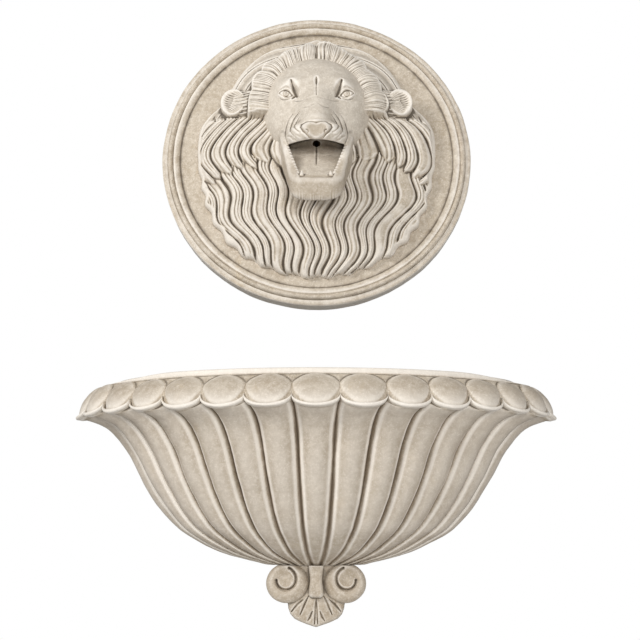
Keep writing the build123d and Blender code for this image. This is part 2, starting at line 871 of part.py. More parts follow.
with BuildPart() as pump_cover:
    with BuildSketch(shaft_plane(pump_face_x)):
        RectangleRounded(pump_width, pump_body_height, pump_corner)
    extrude(amount=cover_length)
    with BuildSketch(shaft_plane(pump_face_x)):
        Circle(chamber_radius)
    extrude(amount=cover_length - cover_front, mode=Mode.SUBTRACT)
    with BuildSketch(shaft_plane(chamber_end_x)):
        Circle(bush_radius + bush_clearance)
    extrude(amount=bush_length, mode=Mode.SUBTRACT)
    with BuildSketch(shaft_plane(chamber_end_x)):
        with PolarLocations(intake_slot_circle / 2, intake_slot_count):
            Rectangle(intake_slot_length, intake_slot_width)
    extrude(amount=cover_front, mode=Mode.SUBTRACT)
    with BuildSketch(shaft_plane(cover_face_x)):
        Circle(dial_boss_radius)
    extrude(amount=dial_thickness + 2 * dial_clearance)
    with BuildSketch(shaft_plane(cover_face_x + dial_thickness + 2 * dial_clearance)):
        Circle(dial_boss_head_radius)
    extrude(amount=dial_boss_head)
    with Locations((outlet_x, pump_y, cover_top)):
        Cylinder(
            barb_seat_radius + bush_clearance,
            cover_top - pump_axis_level,
            align=(Align.CENTER, Align.CENTER, Align.MAX),
            mode=Mode.SUBTRACT,
        )
pump_cover.part.label = "pump_cover"
export_step(pump_cover.part, "parts/pump_cover.step")

# Flow dial: a slotted shutter that turns on the cover's boss
with BuildPart() as flow_dial:
    with BuildSketch(shaft_plane(cover_face_x + dial_clearance)):
        Circle(dial_radius)
        with Locations((0, -dial_radius)):
            Rectangle(dial_lug_width, 2 * dial_lug_length)
        Circle(dial_boss_radius + dial_clearance, mode=Mode.SUBTRACT)
        with PolarLocations(intake_slot_circle / 2, intake_slot_count):
            Rectangle(intake_slot_length, intake_slot_width, mode=Mode.SUBTRACT)
    extrude(amount=dial_thickness)
flow_dial.part.label = "flow_dial"
export_step(flow_dial.part, "parts/flow_dial.step")

# Impeller: a magnet rotor in the well and blades in the chamber
rotor_end_x = pump_face_x - well_length + rotor_end_gap
plate_x = pump_face_x + impeller_face_gap
with BuildPart() as impeller:
    with BuildSketch(shaft_plane(rotor_end_x)):
        Circle(rotor_radius)
    extrude(amount=rotor_length)
    with BuildSketch(shaft_plane(rotor_end_x)):
        Circle(hub_radius)
    extrude(amount=plate_x + impeller_plate + blade_height - rotor_end_x)
    with BuildSketch(shaft_plane(plate_x)):
        Circle(impeller_radius)
    extrude(amount=impeller_plate)
    with BuildSketch(shaft_plane(plate_x)):
        with PolarLocations((hub_radius + impeller_radius) / 2, blade_count):
            Rectangle(impeller_radius - hub_radius + hub_radius / 2, blade_thickness)
    extrude(amount=impeller_plate + blade_height)
    with BuildSketch(shaft_plane(rotor_end_x)):
        Circle(shaft_radius + shaft_clearance)
    extrude(amount=well_length + cover_length, mode=Mode.SUBTRACT)
impeller.part.label = "impeller"
export_step(impeller.part, "parts/impeller.step")

shaft_back_x = pump_face_x - well_length - bush_length
with BuildPart() as impeller_shaft:
    with BuildSketch(shaft_plane(shaft_back_x)):
        Circle(shaft_radius)
    extrude(amount=chamber_end_x + bush_length - shaft_back_x)
impeller_shaft.part.label = "impeller_shaft"
export_step(impeller_shaft.part, "parts/impeller_shaft.step")

for name, x in (("shaft_bush_rear", shaft_back_x), ("shaft_bush_front", chamber_end_x)):
    with BuildPart() as bush:
        with BuildSketch(shaft_plane(x)):
            Circle(bush_radius)
            Circle(shaft_radius + shaft_clearance, mode=Mode.SUBTRACT)
        extrude(amount=bush_length)
    bush.part.label = name
    export_step(bush.part, f"parts/{name}.step")

with BuildPart() as outlet_barb:
    with BuildSketch(Plane.XZ.offset(-pump_y)):
        with BuildLine():
            Polyline(
                (outlet_x + barb_bore_radius, cover_top - barb_seat_depth),
                (outlet_x + barb_seat_radius, cover_top - barb_seat_depth),
                (outlet_x + barb_seat_radius, cover_top),
                (outlet_x + barb_flange_radius, cover_top),
                (outlet_x + barb_flange_radius, cover_top + barb_flange_thickness),
                (outlet_x + barb_radius, cover_top + barb_flange_thickness),
                (outlet_x + barb_radius, cover_top + barb_flange_thickness + barb_length),
                (outlet_x + barb_bore_radius, cover_top + barb_flange_thickness + barb_length),
                close=True,
            )
        make_face()
    revolve(axis=Axis((outlet_x, pump_y, 0), (0, 0, 1)))
outlet_barb.part.label = "outlet_barb"
export_step(outlet_barb.part, "parts/outlet_barb.step")

# Strain relief where the cable leaves the housing
with BuildPart() as cable_gland:
    for radius, back, front in (
        (gland_radius, 0, gland_seat_depth),
        (gland_body_radius, -gland_body_length, 0),
        (gland_tip_radius, -gland_length, -gland_body_length),
    ):
        with BuildSketch(shaft_plane(pump_back_x + back)):
            Circle(radius)
        extrude(amount=front - back)
    with BuildSketch(shaft_plane(pump_back_x - gland_length)):
        Circle(gland_bore_radius)
    extrude(amount=gland_length, mode=Mode.SUBTRACT)
cable_gland.part.label = "cable_gland"
export_step(cable_gland.part, "parts/cable_gland.step")
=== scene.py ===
"""Looks of the lion head wall fountain: carved stone, the finishes of its fittings, light and camera."""

import contextlib
import json
import math

import bpy
import numpy as np
import openvdb
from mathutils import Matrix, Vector, noise


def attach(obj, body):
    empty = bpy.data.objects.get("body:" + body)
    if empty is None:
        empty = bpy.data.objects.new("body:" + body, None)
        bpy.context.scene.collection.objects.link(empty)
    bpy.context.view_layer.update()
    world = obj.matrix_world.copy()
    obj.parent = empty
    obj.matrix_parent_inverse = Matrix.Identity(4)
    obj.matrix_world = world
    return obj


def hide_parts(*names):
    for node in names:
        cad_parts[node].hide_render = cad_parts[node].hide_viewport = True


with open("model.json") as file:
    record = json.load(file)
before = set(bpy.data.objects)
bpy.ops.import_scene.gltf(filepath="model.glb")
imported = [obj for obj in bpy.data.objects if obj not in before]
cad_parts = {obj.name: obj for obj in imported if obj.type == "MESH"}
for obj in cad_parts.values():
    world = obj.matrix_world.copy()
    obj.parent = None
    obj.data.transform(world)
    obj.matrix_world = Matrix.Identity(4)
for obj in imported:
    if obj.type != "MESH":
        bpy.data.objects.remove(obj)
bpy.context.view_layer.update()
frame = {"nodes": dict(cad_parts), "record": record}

bl_info = {
    "name": "Lion head wall fountain",
    "version": (1, 0, 0),
    "blender": (4, 5, 0),
    "location": "3D View > Sidebar > Fountain",
    "description": "Builds the carved stone and the finishes of a lion head wall fountain",
    "category": "Object",
}

# Shapes are worked out in millimetres and turned into metres by this factor
MM = 0.001

# Depths from the wall, in millimetres: the plaque's field, the mane's foot and the back of the mouth
FIELD_DEPTH = 34
MANE_FOOT_DEPTH = 33.6
MOUTH_BACK_DEPTH = 97

# The right iris in the front view, measured from the plaque's centre
IRIS_X, IRIS_H = 60, 86.5

# Levels of the basin against its lip, and the thickness of its back wall, in millimetres
BOWL_FOOT_LEVEL = -266
FLOOR_LEVEL = -205
EGG_TOP_LEVEL = 58
BACK_WALL = 40


# Settings


class PlaqueSettings(bpy.types.PropertyGroup):
    """Sizes of the round plaque."""

    height: bpy.props.FloatProperty(
        name="Height", description="Level of the plaque's centre above the lip", default=0.55, unit="LENGTH"
    )
    radius: bpy.props.FloatProperty(
        name="Radius", description="Radius of the plaque", default=0.32, unit="LENGTH"
    )
    steps: bpy.props.IntProperty(name="Steps", description="Turning steps of the rim", default=288, min=32)


class LionSettings(bpy.types.PropertyGroup):
    """Fineness of the lion's carving."""

    voxel: bpy.props.FloatProperty(
        name="Head detail", description="Cell size of the head's carving", default=0.0015, unit="LENGTH"
    )
    mane_turns: bpy.props.IntProperty(
        name="Mane columns", description="Columns round the mane", default=1240, min=64
    )
    mane_rows: bpy.props.IntProperty(
        name="Mane rows", description="Rows from the face to the mane's edge", default=142, min=16
    )
    lock_depth: bpy.props.FloatProperty(
        name="Lock depth", description="Depth of the grooves between locks", default=0.0085, unit="LENGTH"
    )


class BasinSettings(bpy.types.PropertyGroup):
    """Sizes of the fluted basin."""

    half_width: bpy.props.FloatProperty(
        name="Half width", description="Half width at the cusps of the lip", default=0.45, unit="LENGTH"
    )
    depth: bpy.props.FloatProperty(
        name="Depth", description="Reach from the wall to the cusps of the lip", default=0.26, unit="LENGTH"
    )
    lobes: bpy.props.IntProperty(name="Lobes", description="Lobes round the rim", default=15, min=3)
    swell: bpy.props.FloatProperty(
        name="Swell", description="How far a lobe stands past its cusps", default=0.0145, unit="LENGTH"
    )


class CorbelSettings(bpy.types.PropertyGroup):
    """Fineness of the corbel's carving."""

    voxel: bpy.props.FloatProperty(
        name="Corbel detail", description="Cell size of the corbel's carving", default=0.0011, unit="LENGTH"
    )


class FinishSettings(bpy.types.PropertyGroup):
    """Colours of the stone and of the fittings."""

    stone_bed: bpy.props.FloatVectorProperty(
        name="Stone bed", description="Darker beds of the stone", default=(0.38, 0.31, 0.225), subtype="COLOR"
    )
    stone_body: bpy.props.FloatVectorProperty(
        name="Stone body", description="Main colour of the stone", default=(0.49, 0.42, 0.33), subtype="COLOR"
    )
    # Dark colour of the hollows: a weathered film on the stone and painted shade
    patina_and_painted_shade: bpy.props.FloatVectorProperty(
        name="Patina", description="Dirt in the hollows", default=(0.075, 0.055, 0.036), subtype="COLOR"
    )
    steel: bpy.props.FloatVectorProperty(
        name="Steel", description="Rods, dowels and shaft", default=(0.62, 0.62, 0.60), subtype="COLOR"
    )
    # Tarnish, and painted shade that darkens the inside of the spout's bore
    brass: bpy.props.FloatVectorProperty(
        name="Brass", description="Tarnished spout and nut", default=(0.11, 0.08, 0.045), subtype="COLOR"
    )
    rubber: bpy.props.FloatVectorProperty(
        name="Rubber",
        description="Seals, bushes, feet and stopper",
        default=(0.03, 0.03, 0.03),
        subtype="COLOR",
    )
    black_plastic: bpy.props.FloatVectorProperty(
        name="Black plastic",
        description="Housing, cover and outlet of the pump",
        default=(0.035, 0.035, 0.04),
        subtype="COLOR",
    )
    blue_plastic: bpy.props.FloatVectorProperty(
        name="Blue plastic", description="Dial of the pump", default=(0.05, 0.15, 0.38), subtype="COLOR"
    )
    white_plastic: bpy.props.FloatVectorProperty(
        name="White plastic", description="Impeller of the pump", default=(0.74, 0.74, 0.72), subtype="COLOR"
    )


class StageSettings(bpy.types.PropertyGroup):
    """Camera and light."""

    distance: bpy.props.FloatProperty(
        name="Distance", description="Camera's distance from the wall", default=1.7087, unit="LENGTH"
    )
    level: bpy.props.FloatProperty(
        name="Level", description="Camera's level against the lip", default=-0.2142, unit="LENGTH"
    )
    aside: bpy.props.FloatProperty(
        name="Aside", description="Camera's place right of the middle", default=0.007, unit="LENGTH"
    )
    pitch: bpy.props.FloatProperty(
        name="Pitch", description="Camera's upward tilt", default=math.radians(13.94), subtype="ANGLE"
    )
    lens: bpy.props.FloatProperty(name="Lens", description="Focal length in mm", default=49.01)
    sky: bpy.props.FloatProperty(
        name="Sky", description="Strength of the light all round", default=0.34, min=0.0
    )


SETTINGS = {
    "fountain_plaque": PlaqueSettings,
    "fountain_lion": LionSettings,
    "fountain_basin": BasinSettings,
    "fountain_corbel": CorbelSettings,
    "fountain_finish": FinishSettings,
    "fountain_stage": StageSettings,
}


# Shapes as distance fields, in millimetres: x to the right, h up, d out from the wall


def smooth_min(a, b, k):
    """Union of two fields with a rounded joint of size k."""
    t = np.clip(0.5 + 0.5 * (b - a) / k, 0, 1)
    return b + (a - b) * t - k * t * (1 - t)


def smooth_max(a, b, k):
    """Intersection of two fields with a rounded joint of size k."""
    return -smooth_min(-a, -b, k)


def smooth_step(low, high, value):
    """Eased ramp from 0 at low to 1 at high."""
    t = np.clip((value - low) / (high - low), 0, 1)
    return t * t * (3 - 2 * t)


def ridge(offset, width):
    """Rounded ridge: 1 where the offset is 0, fading out over the width."""
    return np.exp(-((offset / width) ** 2))


def ellipsoid(p, centre, radii):
    """Field of an ellipsoid."""
    q = [(a - c) / r for a, c, r in zip(p, centre, radii)]
    k0 = np.sqrt(q[0] ** 2 + q[1] ** 2 + q[2] ** 2)
    k1 = np.sqrt((q[0] / radii[0]) ** 2 + (q[1] / radii[1]) ** 2 + (q[2] / radii[2]) ** 2)
    return k0 * (k0 - 1) / np.maximum(k1, 1e-6)


def capsule(p, start, end, r_start, r_end):
    """Field of a round bar between two points, with a radius at each end."""
    axis = np.subtract(end, start)
    along = sum((a - s) * v for a, s, v in zip(p, start, axis)) / float(axis @ axis)
    t = np.clip(along, 0, 1)
    gap = np.sqrt(sum((a - s - t * v) ** 2 for a, s, v in zip(p, start, axis)))
    return gap - (r_start + (r_end - r_start) * t)


def segment(x, h, start, end):
    """Distance in the front view to a straight stroke, and how far along it."""
    vx, vh = end[0] - start[0], end[1] - start[1]
    t = np.clip(((x - start[0]) * vx + (h - start[1]) * vh) / (vx * vx + vh * vh), 0, 1)
    return np.hypot(x - start[0] - t * vx, h - start[1] - t * vh), t


def stroke(x, h, points, width, depth, taper=True):
    """Depth of a chiselled groove along a chain of points, in the front view."""
    cut = np.zeros(np.broadcast(x, h).shape)
    count = len(points) - 1
    for i in range(count):
        gap, t = segment(x, h, points[i], points[i + 1])
        along = (i + t) / count
        size = width * (0.35 + 0.65 * np.sin(np.pi * np.clip(along, 0.02, 0.98))) if taper else width
        cut = np.maximum(cut, depth * ridge(gap, size))
    return cut


def arc_points(centre, radius, start, end, count=8, squash=1.0):
    """Points along an arc, with angles in degrees."""
    angles = [math.radians(start + (end - start) * k / count) for k in range(count + 1)]
    return [(centre[0] + radius * math.cos(a), centre[1] + squash * radius * math.sin(a)) for a in angles]


def field_axes(low, high, cell, kind=float):
    """The three axes of a grid of cells, each shaped to be combined with the others."""
    count = np.ceil((high - low) / cell).astype(int) + 1
    x, y, z = (kind(low[i]) + kind(cell) * np.arange(count[i], dtype=kind) for i in range(3))
    return x[:, None, None], y[None, :, None], z[None, None, :]


# Meshes


def new_object(name, points, faces, edges=()):
    """A mesh object from points in metres, faces and loose edges."""
    mesh = bpy.data.meshes.new(name)
    mesh.from_pydata([tuple(p) for p in points], list(edges), [tuple(f) for f in faces])
    mesh.update()
    obj = bpy.data.objects.new(name, mesh)
    bpy.context.scene.collection.objects.link(obj)
    return obj


def only(obj):
    """Makes one object the selected and active one."""
    bpy.ops.object.select_all(action="DESELECT")
    obj.select_set(True)
    bpy.context.view_layer.objects.active = obj


@contextlib.contextmanager
def editing(obj):
    """Edit mode on one object, with its whole mesh selected."""
    only(obj)
    bpy.ops.object.mode_set(mode="EDIT")
    bpy.ops.mesh.select_all(action="SELECT")
    yield
    bpy.ops.object.mode_set(mode="OBJECT")


def field_object(name, field, low, cell, to_world):
    """Meshes the zero level of a field sampled on a grid."""
    grid = openvdb.FloatGrid(background=float(field.max()))
    grid.copyFromArray(np.ascontiguousarray(field, dtype=np.float32))
    points, quads = grid.convertToQuads(isovalue=0.0)
    points = np.asarray(points) * cell + np.asarray(low)
    return new_object(name, to_world(points) * MM, np.asarray(quads)[:, ::-1])


def row_faces(rows, width, closed=False):
    """Four-sided faces between rows of points that close on themselves; the last row may meet the first."""
    here = np.arange(rows if closed else rows - 1)[:, None] * width
    beyond = (here + width) % (rows * width)
    column = np.arange(width)[None, :]
    beside = (column + 1) % width
    corners = (here + column, here + beside, beyond + beside, beyond + column)
    return np.stack(corners, axis=-1).reshape(-1, 4).tolist()


def tidy_normals(obj):
    """Merges doubles and turns every face outward."""
    with editing(obj):
        bpy.ops.mesh.remove_doubles(threshold=1e-6)
        bpy.ops.mesh.normals_make_consistent(inside=False)
    bpy.ops.object.shade_smooth()


def mesh_points(mesh):
    """The places of a mesh's points, in metres."""
    points = np.empty(len(mesh.vertices) * 3, np.float32)
    mesh.vertices.foreach_get("co", points)
    return points.reshape(-1, 3)


def mesh_normals(mesh):
    """The directions in which a mesh's points face."""
    normals = np.empty(len(mesh.vertices) * 3, np.float32)
    mesh.vertex_normals.foreach_get("vector", normals)
    return normals.reshape(-1, 3)


def roughen(obj, size, amount, where=None):
    """Moves the surface a little in and out, as hand carving does."""
    points = mesh_points(obj.data)
    shift = np.array([noise.noise(Vector(p) / size) for p in points.tolist()], np.float32)
    if where is not None:
        shift = shift * where
    points += mesh_normals(obj.data) * (shift * amount)[:, None]
    obj.data.vertices.foreach_set("co", points.ravel())
    obj.data.update()


def mark_carving(obj, fine=5, broad=40, fine_size=0.0005, broad_size=0.0025, tone=0.0):
    """Stores how hollow (above 0) or proud (below 0) the surface is, and a tone that makes it darker or
    paler, which on the head and the basin's flutes is painted light and shade.

    The surface is compared with itself after a few rounds of smoothing (fine) and after many (broad).
    """
    mesh = obj.data
    count = len(mesh.vertices)
    points = mesh_points(mesh).astype(float)
    normals = mesh_normals(mesh)
    edges = np.empty(len(mesh.edges) * 2, np.int32)
    mesh.edges.foreach_get("vertices", edges)
    a, b = edges[0::2], edges[1::2]
    links = np.maximum(np.bincount(a, minlength=count) + np.bincount(b, minlength=count), 1)
    smooth = points.copy()
    hollow = np.zeros(count)
    for step in range(1, broad + 1):
        total = [np.bincount(a, smooth[b, i], count) + np.bincount(b, smooth[a, i], count) for i in range(3)]
        smooth = np.column_stack(total) / links[:, None]
        if step == fine:
            hollow += ((smooth - points) * normals).sum(1) / fine_size * 0.5
    hollow += ((smooth - points) * normals).sum(1) / broad_size * 0.5
    for name, values in (("hollow", hollow), ("tone", np.zeros(count) + tone)):
        layer = mesh.attributes.new(name, "FLOAT", "POINT")
        layer.data.foreach_set("value", np.clip(values, -1, 1).astype(np.float32))


def place(obj, node):
    """Puts a carved piece in the place of its CAD node."""
    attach(obj, "fountain")
    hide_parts(node)
    obj.data.materials.clear()
    obj.data.materials.append(stone_material())


# Materials


class NodeKit:
    """Adds shader nodes to one tree and links them."""

    def __init__(self, tree):
        self.nodes = tree.nodes
        self.links = tree.links

    def noise(self, vector, scale, detail=4.0, roughness=0.55, distortion=0.0):
        """A noise texture on a given vector."""
        node = self.nodes.new("ShaderNodeTexNoise")
        node.inputs["Scale"].default_value = scale
        node.inputs["Detail"].default_value = detail
        node.inputs["Roughness"].default_value = roughness
        node.inputs["Distortion"].default_value = distortion
        self.links.new(vector, node.inputs["Vector"])
        return node.outputs["Fac"]

    def ramp(self, value, low, high, kind="SMOOTHSTEP"):
        """A value stretched so that low gives 0 and high gives 1."""
        node = self.nodes.new("ShaderNodeMapRange")
        node.interpolation_type = kind
        node.inputs["From Min"].default_value = low
        node.inputs["From Max"].default_value = high
        self.links.new(value, node.inputs["Value"])
        return node.outputs["Result"]

    def spread(self, value, low, high):
        """A value from 0 to 1 spread from low to high."""
        node = self.nodes.new("ShaderNodeMapRange")
        node.inputs["To Min"].default_value = low
        node.inputs["To Max"].default_value = high
        self.links.new(value, node.inputs["Value"])
        return node.outputs["Result"]

    def math(self, operation, first, second):
        """Arithmetic on two values, where the second may be a constant."""
        node = self.nodes.new("ShaderNodeMath")
        node.operation = operation
        self.links.new(first, node.inputs[0])
        if isinstance(second, float):
            node.inputs[1].default_value = second
        else:
            self.links.new(second, node.inputs[1])
        return node.outputs["Value"]

    def mixed(self, share, first, second):
        """A colour mix, where each colour is a constant or a socket."""
        node = self.nodes.new("ShaderNodeMix")
        node.data_type = "RGBA"
        self.links.new(share, node.inputs["Factor"])
        for socket, colour in ((node.inputs[6], first), (node.inputs[7], second)):
            if isinstance(colour, tuple):
                socket.default_value = (*colour, 1.0)
            else:
                self.links.new(colour, socket)
        return node.outputs[2]


def stone_group(settings):
    """Node group for the stone's colour with its painted light and shade, roughness and surface height."""
    group = bpy.data.node_groups.new("Carved stone", "ShaderNodeTree")
    group.interface.new_socket("Vector", in_out="INPUT", socket_type="NodeSocketVector")
    group.interface.new_socket("Hollow", in_out="INPUT", socket_type="NodeSocketFloat")
    group.interface.new_socket("Tone", in_out="INPUT", socket_type="NodeSocketFloat")
    group.interface.new_socket("Color", in_out="OUTPUT", socket_type="NodeSocketColor")
    group.interface.new_socket("Roughness", in_out="OUTPUT", socket_type="NodeSocketFloat")
    group.interface.new_socket("Height", in_out="OUTPUT", socket_type="NodeSocketFloat")
    kit = NodeKit(group)
    start = kit.nodes.new("NodeGroupInput")
    end = kit.nodes.new("NodeGroupOutput")
    vector, hollow, tone = (start.outputs[name] for name in ("Vector", "Hollow", "Tone"))
    # Patterns from broad beds down to single grains
    beds = kit.ramp(kit.noise(vector, 8.0, 6.0, 0.7), 0.35, 0.65)
    mottle = kit.ramp(kit.noise(vector, 85.0, 8.0, 0.75, 0.25), 0.40, 0.62)
    rust = kit.ramp(kit.noise(vector, 11.0, 4.0, 0.6, 1.2), 0.58, 0.78)
    grain = kit.noise(vector, 210.0, 5.0, 0.7)
    specks = kit.ramp(grain, 0.40, 0.62)
    sand = kit.ramp(kit.noise(vector, 330.0, 3.0, 0.6), 0.54, 0.68)
    # Thin veins along the folds of a swirl, in some places only
    folds = kit.math("PINGPONG", kit.noise(vector, 22.0, 3.0, 0.5, 2.6), 0.09)
    some = kit.ramp(kit.noise(vector, 9.0, 3.0), 0.5, 0.68)
    veins = kit.math("MULTIPLY", kit.ramp(folds, 0.012, 0.0), some)
    # Pits at the middles of cells, in some places only
    cells = kit.nodes.new("ShaderNodeTexVoronoi")
    cells.inputs["Scale"].default_value = 95.0
    kit.links.new(vector, cells.inputs["Vector"])
    sparse = kit.ramp(kit.noise(vector, 16.0, 2.0), 0.55, 0.72)
    pits = kit.math("MULTIPLY", kit.ramp(cells.outputs["Distance"], 0.16, 0.06), sparse)
    # Each layer lies over the ones before it: mask, strength, colour
    layers = (
        (mottle, 0.8, (0.61, 0.54, 0.445)),
        (rust, 0.45, (0.55, 0.43, 0.27)),
        (veins, 0.55, (0.80, 0.75, 0.68)),
        (specks, 0.34, (0.34, 0.28, 0.21)),
        (sand, 0.5, (0.74, 0.68, 0.60)),
        (pits, 0.6, (0.20, 0.15, 0.10)),
        # Proud edges paler: wear on the stone and a painted highlight
        (kit.ramp(hollow, -0.12, -0.75), 0.6, (0.84, 0.79, 0.72)),
        # Darker and paler tone: on the head and the basin's flutes this is painted shade and painted light
        (kit.ramp(tone, 0.0, 1.0, "LINEAR"), 1.0, (0.22, 0.165, 0.11)),
        (kit.ramp(tone, 0.0, -1.0, "LINEAR"), 1.0, (0.88, 0.84, 0.78)),
        # Hollows darker: a weathered film on the stone and painted shade
        (kit.ramp(hollow, 0.05, 0.75), 0.82, tuple(settings.patina_and_painted_shade)),
    )
    colour = kit.mixed(beds, tuple(settings.stone_bed), tuple(settings.stone_body))
    for mask, strength, tint in layers:
        colour = kit.mixed(kit.math("MULTIPLY", mask, strength), colour, tint)
    height = kit.math("SUBTRACT", kit.math("MULTIPLY", grain, 0.55), pits)
    kit.links.new(colour, end.inputs["Color"])
    kit.links.new(kit.spread(mottle, 0.55, 0.82), end.inputs["Roughness"])
    kit.links.new(height, end.inputs["Height"])
    return group


def stone_material():
    """Carved limestone, darker in its hollows with a weathered film and painted shade, and paler on its edges
    with wear and a painted highlight.
    """
    if "Stone" in bpy.data.materials:
        return bpy.data.materials["Stone"]
    material = bpy.data.materials.new("Stone")
    material.use_nodes = True
    nodes, links = material.node_tree.nodes, material.node_tree.links
    shader = nodes["Principled BSDF"]
    shader.inputs["Specular IOR Level"].default_value = 0.3
    places = nodes.new("ShaderNodeTexCoord")
    group = nodes.new("ShaderNodeGroup")
    group.node_tree = stone_group(bpy.context.scene.fountain_finish)
    for name, socket in (("hollow", "Hollow"), ("tone", "Tone")):
        layer = nodes.new("ShaderNodeAttribute")
        layer.attribute_name = name
        links.new(layer.outputs["Fac"], group.inputs[socket])
    bump = nodes.new("ShaderNodeBump")
    bump.inputs["Strength"].default_value = 0.45
    bump.inputs["Distance"].default_value = 0.0012
    links.new(places.outputs["Object"], group.inputs["Vector"])
    links.new(group.outputs["Color"], shader.inputs["Base Color"])
    links.new(group.outputs["Roughness"], shader.inputs["Roughness"])
    links.new(group.outputs["Height"], bump.inputs["Height"])
    links.new(bump.outputs["Normal"], shader.inputs["Normal"])
    return material


def fitting_material(name, colour, roughness, metallic, scale, wear=0.12):
    """A finish with a little uneven colour and sheen."""
    material = bpy.data.materials.new(name)
    material.use_nodes = True
    kit = NodeKit(material.node_tree)
    shader = kit.nodes["Principled BSDF"]
    shader.inputs["Metallic"].default_value = metallic
    places = kit.nodes.new("ShaderNodeTexCoord")
    spots = kit.noise(places.outputs["Object"], scale, 5.0)
    darker = tuple(c * (1 - wear) for c in colour)
    lighter = tuple(min(1.0, c * (1 + wear)) for c in colour)
    kit.links.new(kit.mixed(spots, darker, lighter), shader.inputs["Base Color"])
    sheen = kit.spread(spots, roughness * 0.8, min(1.0, roughness * 1.2))
    kit.links.new(sheen, shader.inputs["Roughness"])
    return material


class FOUNTAIN_OT_finishes(bpy.types.Operator):
    """Gives every fitting its finish"""

    bl_idname = "fountain.finishes"
    bl_label = "Finishes"

    def execute(self, context):
        colours = context.scene.fountain_finish
        finishes = {
            "stone": stone_material(),
            "steel": fitting_material("Steel", colours.steel, 0.32, 1.0, 90.0),
            "brass": fitting_material("Brass", colours.brass, 0.6, 1.0, 70.0, wear=0.2),
            "rubber": fitting_material("Rubber", colours.rubber, 0.75, 0.0, 120.0, wear=0.25),
            "black_plastic": fitting_material("Black plastic", colours.black_plastic, 0.48, 0.0, 200.0),
            "blue_plastic": fitting_material("Blue plastic", colours.blue_plastic, 0.42, 0.0, 200.0),
            "white_plastic": fitting_material("White plastic", colours.white_plastic, 0.45, 0.0, 200.0),
        }
        for part in frame["record"]["subparts"]:
            node = frame["nodes"][part["node"]]
            node.data.materials.clear()
            node.data.materials.append(finishes[part["material_slot"]])
        return {"FINISHED"}


# Plaque, from whose centre the lion is measured


def from_wall(points):
    """Turns x, h and d, measured from the plaque's centre, into the fountain's own axes in millimetres."""
    level = bpy.context.scene.fountain_plaque.height / MM
    return np.column_stack((points[:, 0], -points[:, 2], points[:, 1] + level))


def front_view(obj):
    """The x, h and d of each point, measured from the plaque's centre in millimetres."""
    points = mesh_points(obj.data)
    level = bpy.context.scene.fountain_plaque.height
    return points[:, 0] / MM, (points[:, 2] - level) / MM, -points[:, 1] / MM


def plaque_profile(outer):
    """Half a section through the plaque, as radius and depth, from the spout's bore round to the field."""
    bore, well, well_depth = 8, 20, 16
    bevel, corner, step_depth = 3, 4, 33
    bead_inset, bead_half_width, bead_depth, bead_rise = 17.4, 5.2, 38.5, 6.3
    field_inset, field_rings = 44, 46
    back = [(bore, well_depth), (well, well_depth), (well, 0), (outer - bevel, 0), (outer, bevel)]
    turns = np.linspace(0, 1.5, 7)
    step = [(outer - corner + corner * math.cos(a), step_depth + corner * math.sin(a)) for a in turns]
    groove = [(outer - 10.5, 37.4), (outer - 11.6, 36.4), (outer - 12.2, 36.8)]
    turns = np.linspace(0.05, 3.09, 15)
    bead = [
        (outer - bead_inset + bead_half_width * math.cos(a), bead_depth + bead_rise * math.sin(a))
        for a in turns
    ]
    # Inner fillet and cove, as inset and depth
    fillet = ((23.0, 39.6), (23.6, 39.8), (24.2, 41.2), (25.4, 42.0), (29, 41.6), (32, 40.4), (34.4, 38.8))
    cove = ((35.4, 37.6), (36.2, 35.6), (37.4, 34.4), (40, FIELD_DEPTH))
    inner = [(outer - inset, depth) for inset, depth in fillet + cove]
    field = [(r, FIELD_DEPTH) for r in np.linspace(outer - field_inset, bore, field_rings)]
    return back + step + groove + bead + inner + field


class FOUNTAIN_OT_plaque(bpy.types.Operator):
    """Turns the plaque's rim and field"""

    bl_idname = "fountain.plaque"
    bl_label = "Plaque"

    def execute(self, context):
        settings = context.scene.fountain_plaque
        profile = plaque_profile(settings.radius / MM)
        edges = [(k, (k + 1) % len(profile)) for k in range(len(profile))]
        obj = new_object("plaque_stone", [(r * MM, 0, d * MM) for r, d in profile], [], edges)
        only(obj)
        turn = obj.modifiers.new("turn", "SCREW")
        turn.axis = "Z"
        turn.steps = turn.render_steps = settings.steps
        turn.use_merge_vertices = True
        turn.merge_threshold = 1e-6
        bpy.ops.object.modifier_apply(modifier="turn")
        obj.rotation_euler = (math.pi / 2, 0, 0)
        obj.location = (0, 0, settings.height)
        bpy.ops.object.transform_apply(location=True, rotation=True, scale=False)
        tidy_normals(obj)
        roughen(obj, 0.05, 0.0010)
        roughen(obj, 0.012, 0.0004)
        mark_carving(obj, fine=3, broad=8, fine_size=0.0010, broad_size=0.0040)
        place(obj, "plaque_disc")
        return {"FINISHED"}


# Lion's head, of which only the right half is worked out, where x is positive


def head_forms(p):
    """Skull, cheek, muzzle, bridge, brow, lips and nose."""
    _, h, d = p
    skull = ellipsoid(p, (0, 86, 62), (116, 113, 94))
    cheek = ellipsoid(p, (44, 40, 94), (46, 50, 46))
    muzzle = ellipsoid(p, (0, 22, 112), (54, 58, 58))
    bridge = capsule(p, (0, 96, 122), (0, 6, 166), 36, 30)
    brow = ellipsoid(p, (42, 106, 120), (34, 18, 32))
    lip = ellipsoid(p, (25, -12, 148), (30, 26, 42))
    lip_corner = ellipsoid(p, (46, -8, 118), (19, 26, 36))
    nose_front = (h + 15) * -0.3 + (d - 196) * 0.954
    nose = smooth_max(ellipsoid(p, (0, -13, 172), (33, 22, 36)), nose_front, 4)
    field = skull
    joints = ((cheek, 20), (muzzle, 20), (bridge, 14), (brow, 16), (lip, 8), (lip_corner, 12), (nose, 4))
    for form, joint in joints:
        field = smooth_min(field, form, joint)
    return field


def add_eye(field, p):
    """Sinks a socket into the head and sets a round eye in it."""
    field = smooth_max(field, -ellipsoid(p, (60, 86, 164), (23, 14, 24)), 8)
    return smooth_min(field, ellipsoid(p, (60, 86, 127), (19, 15, 18)), 3)


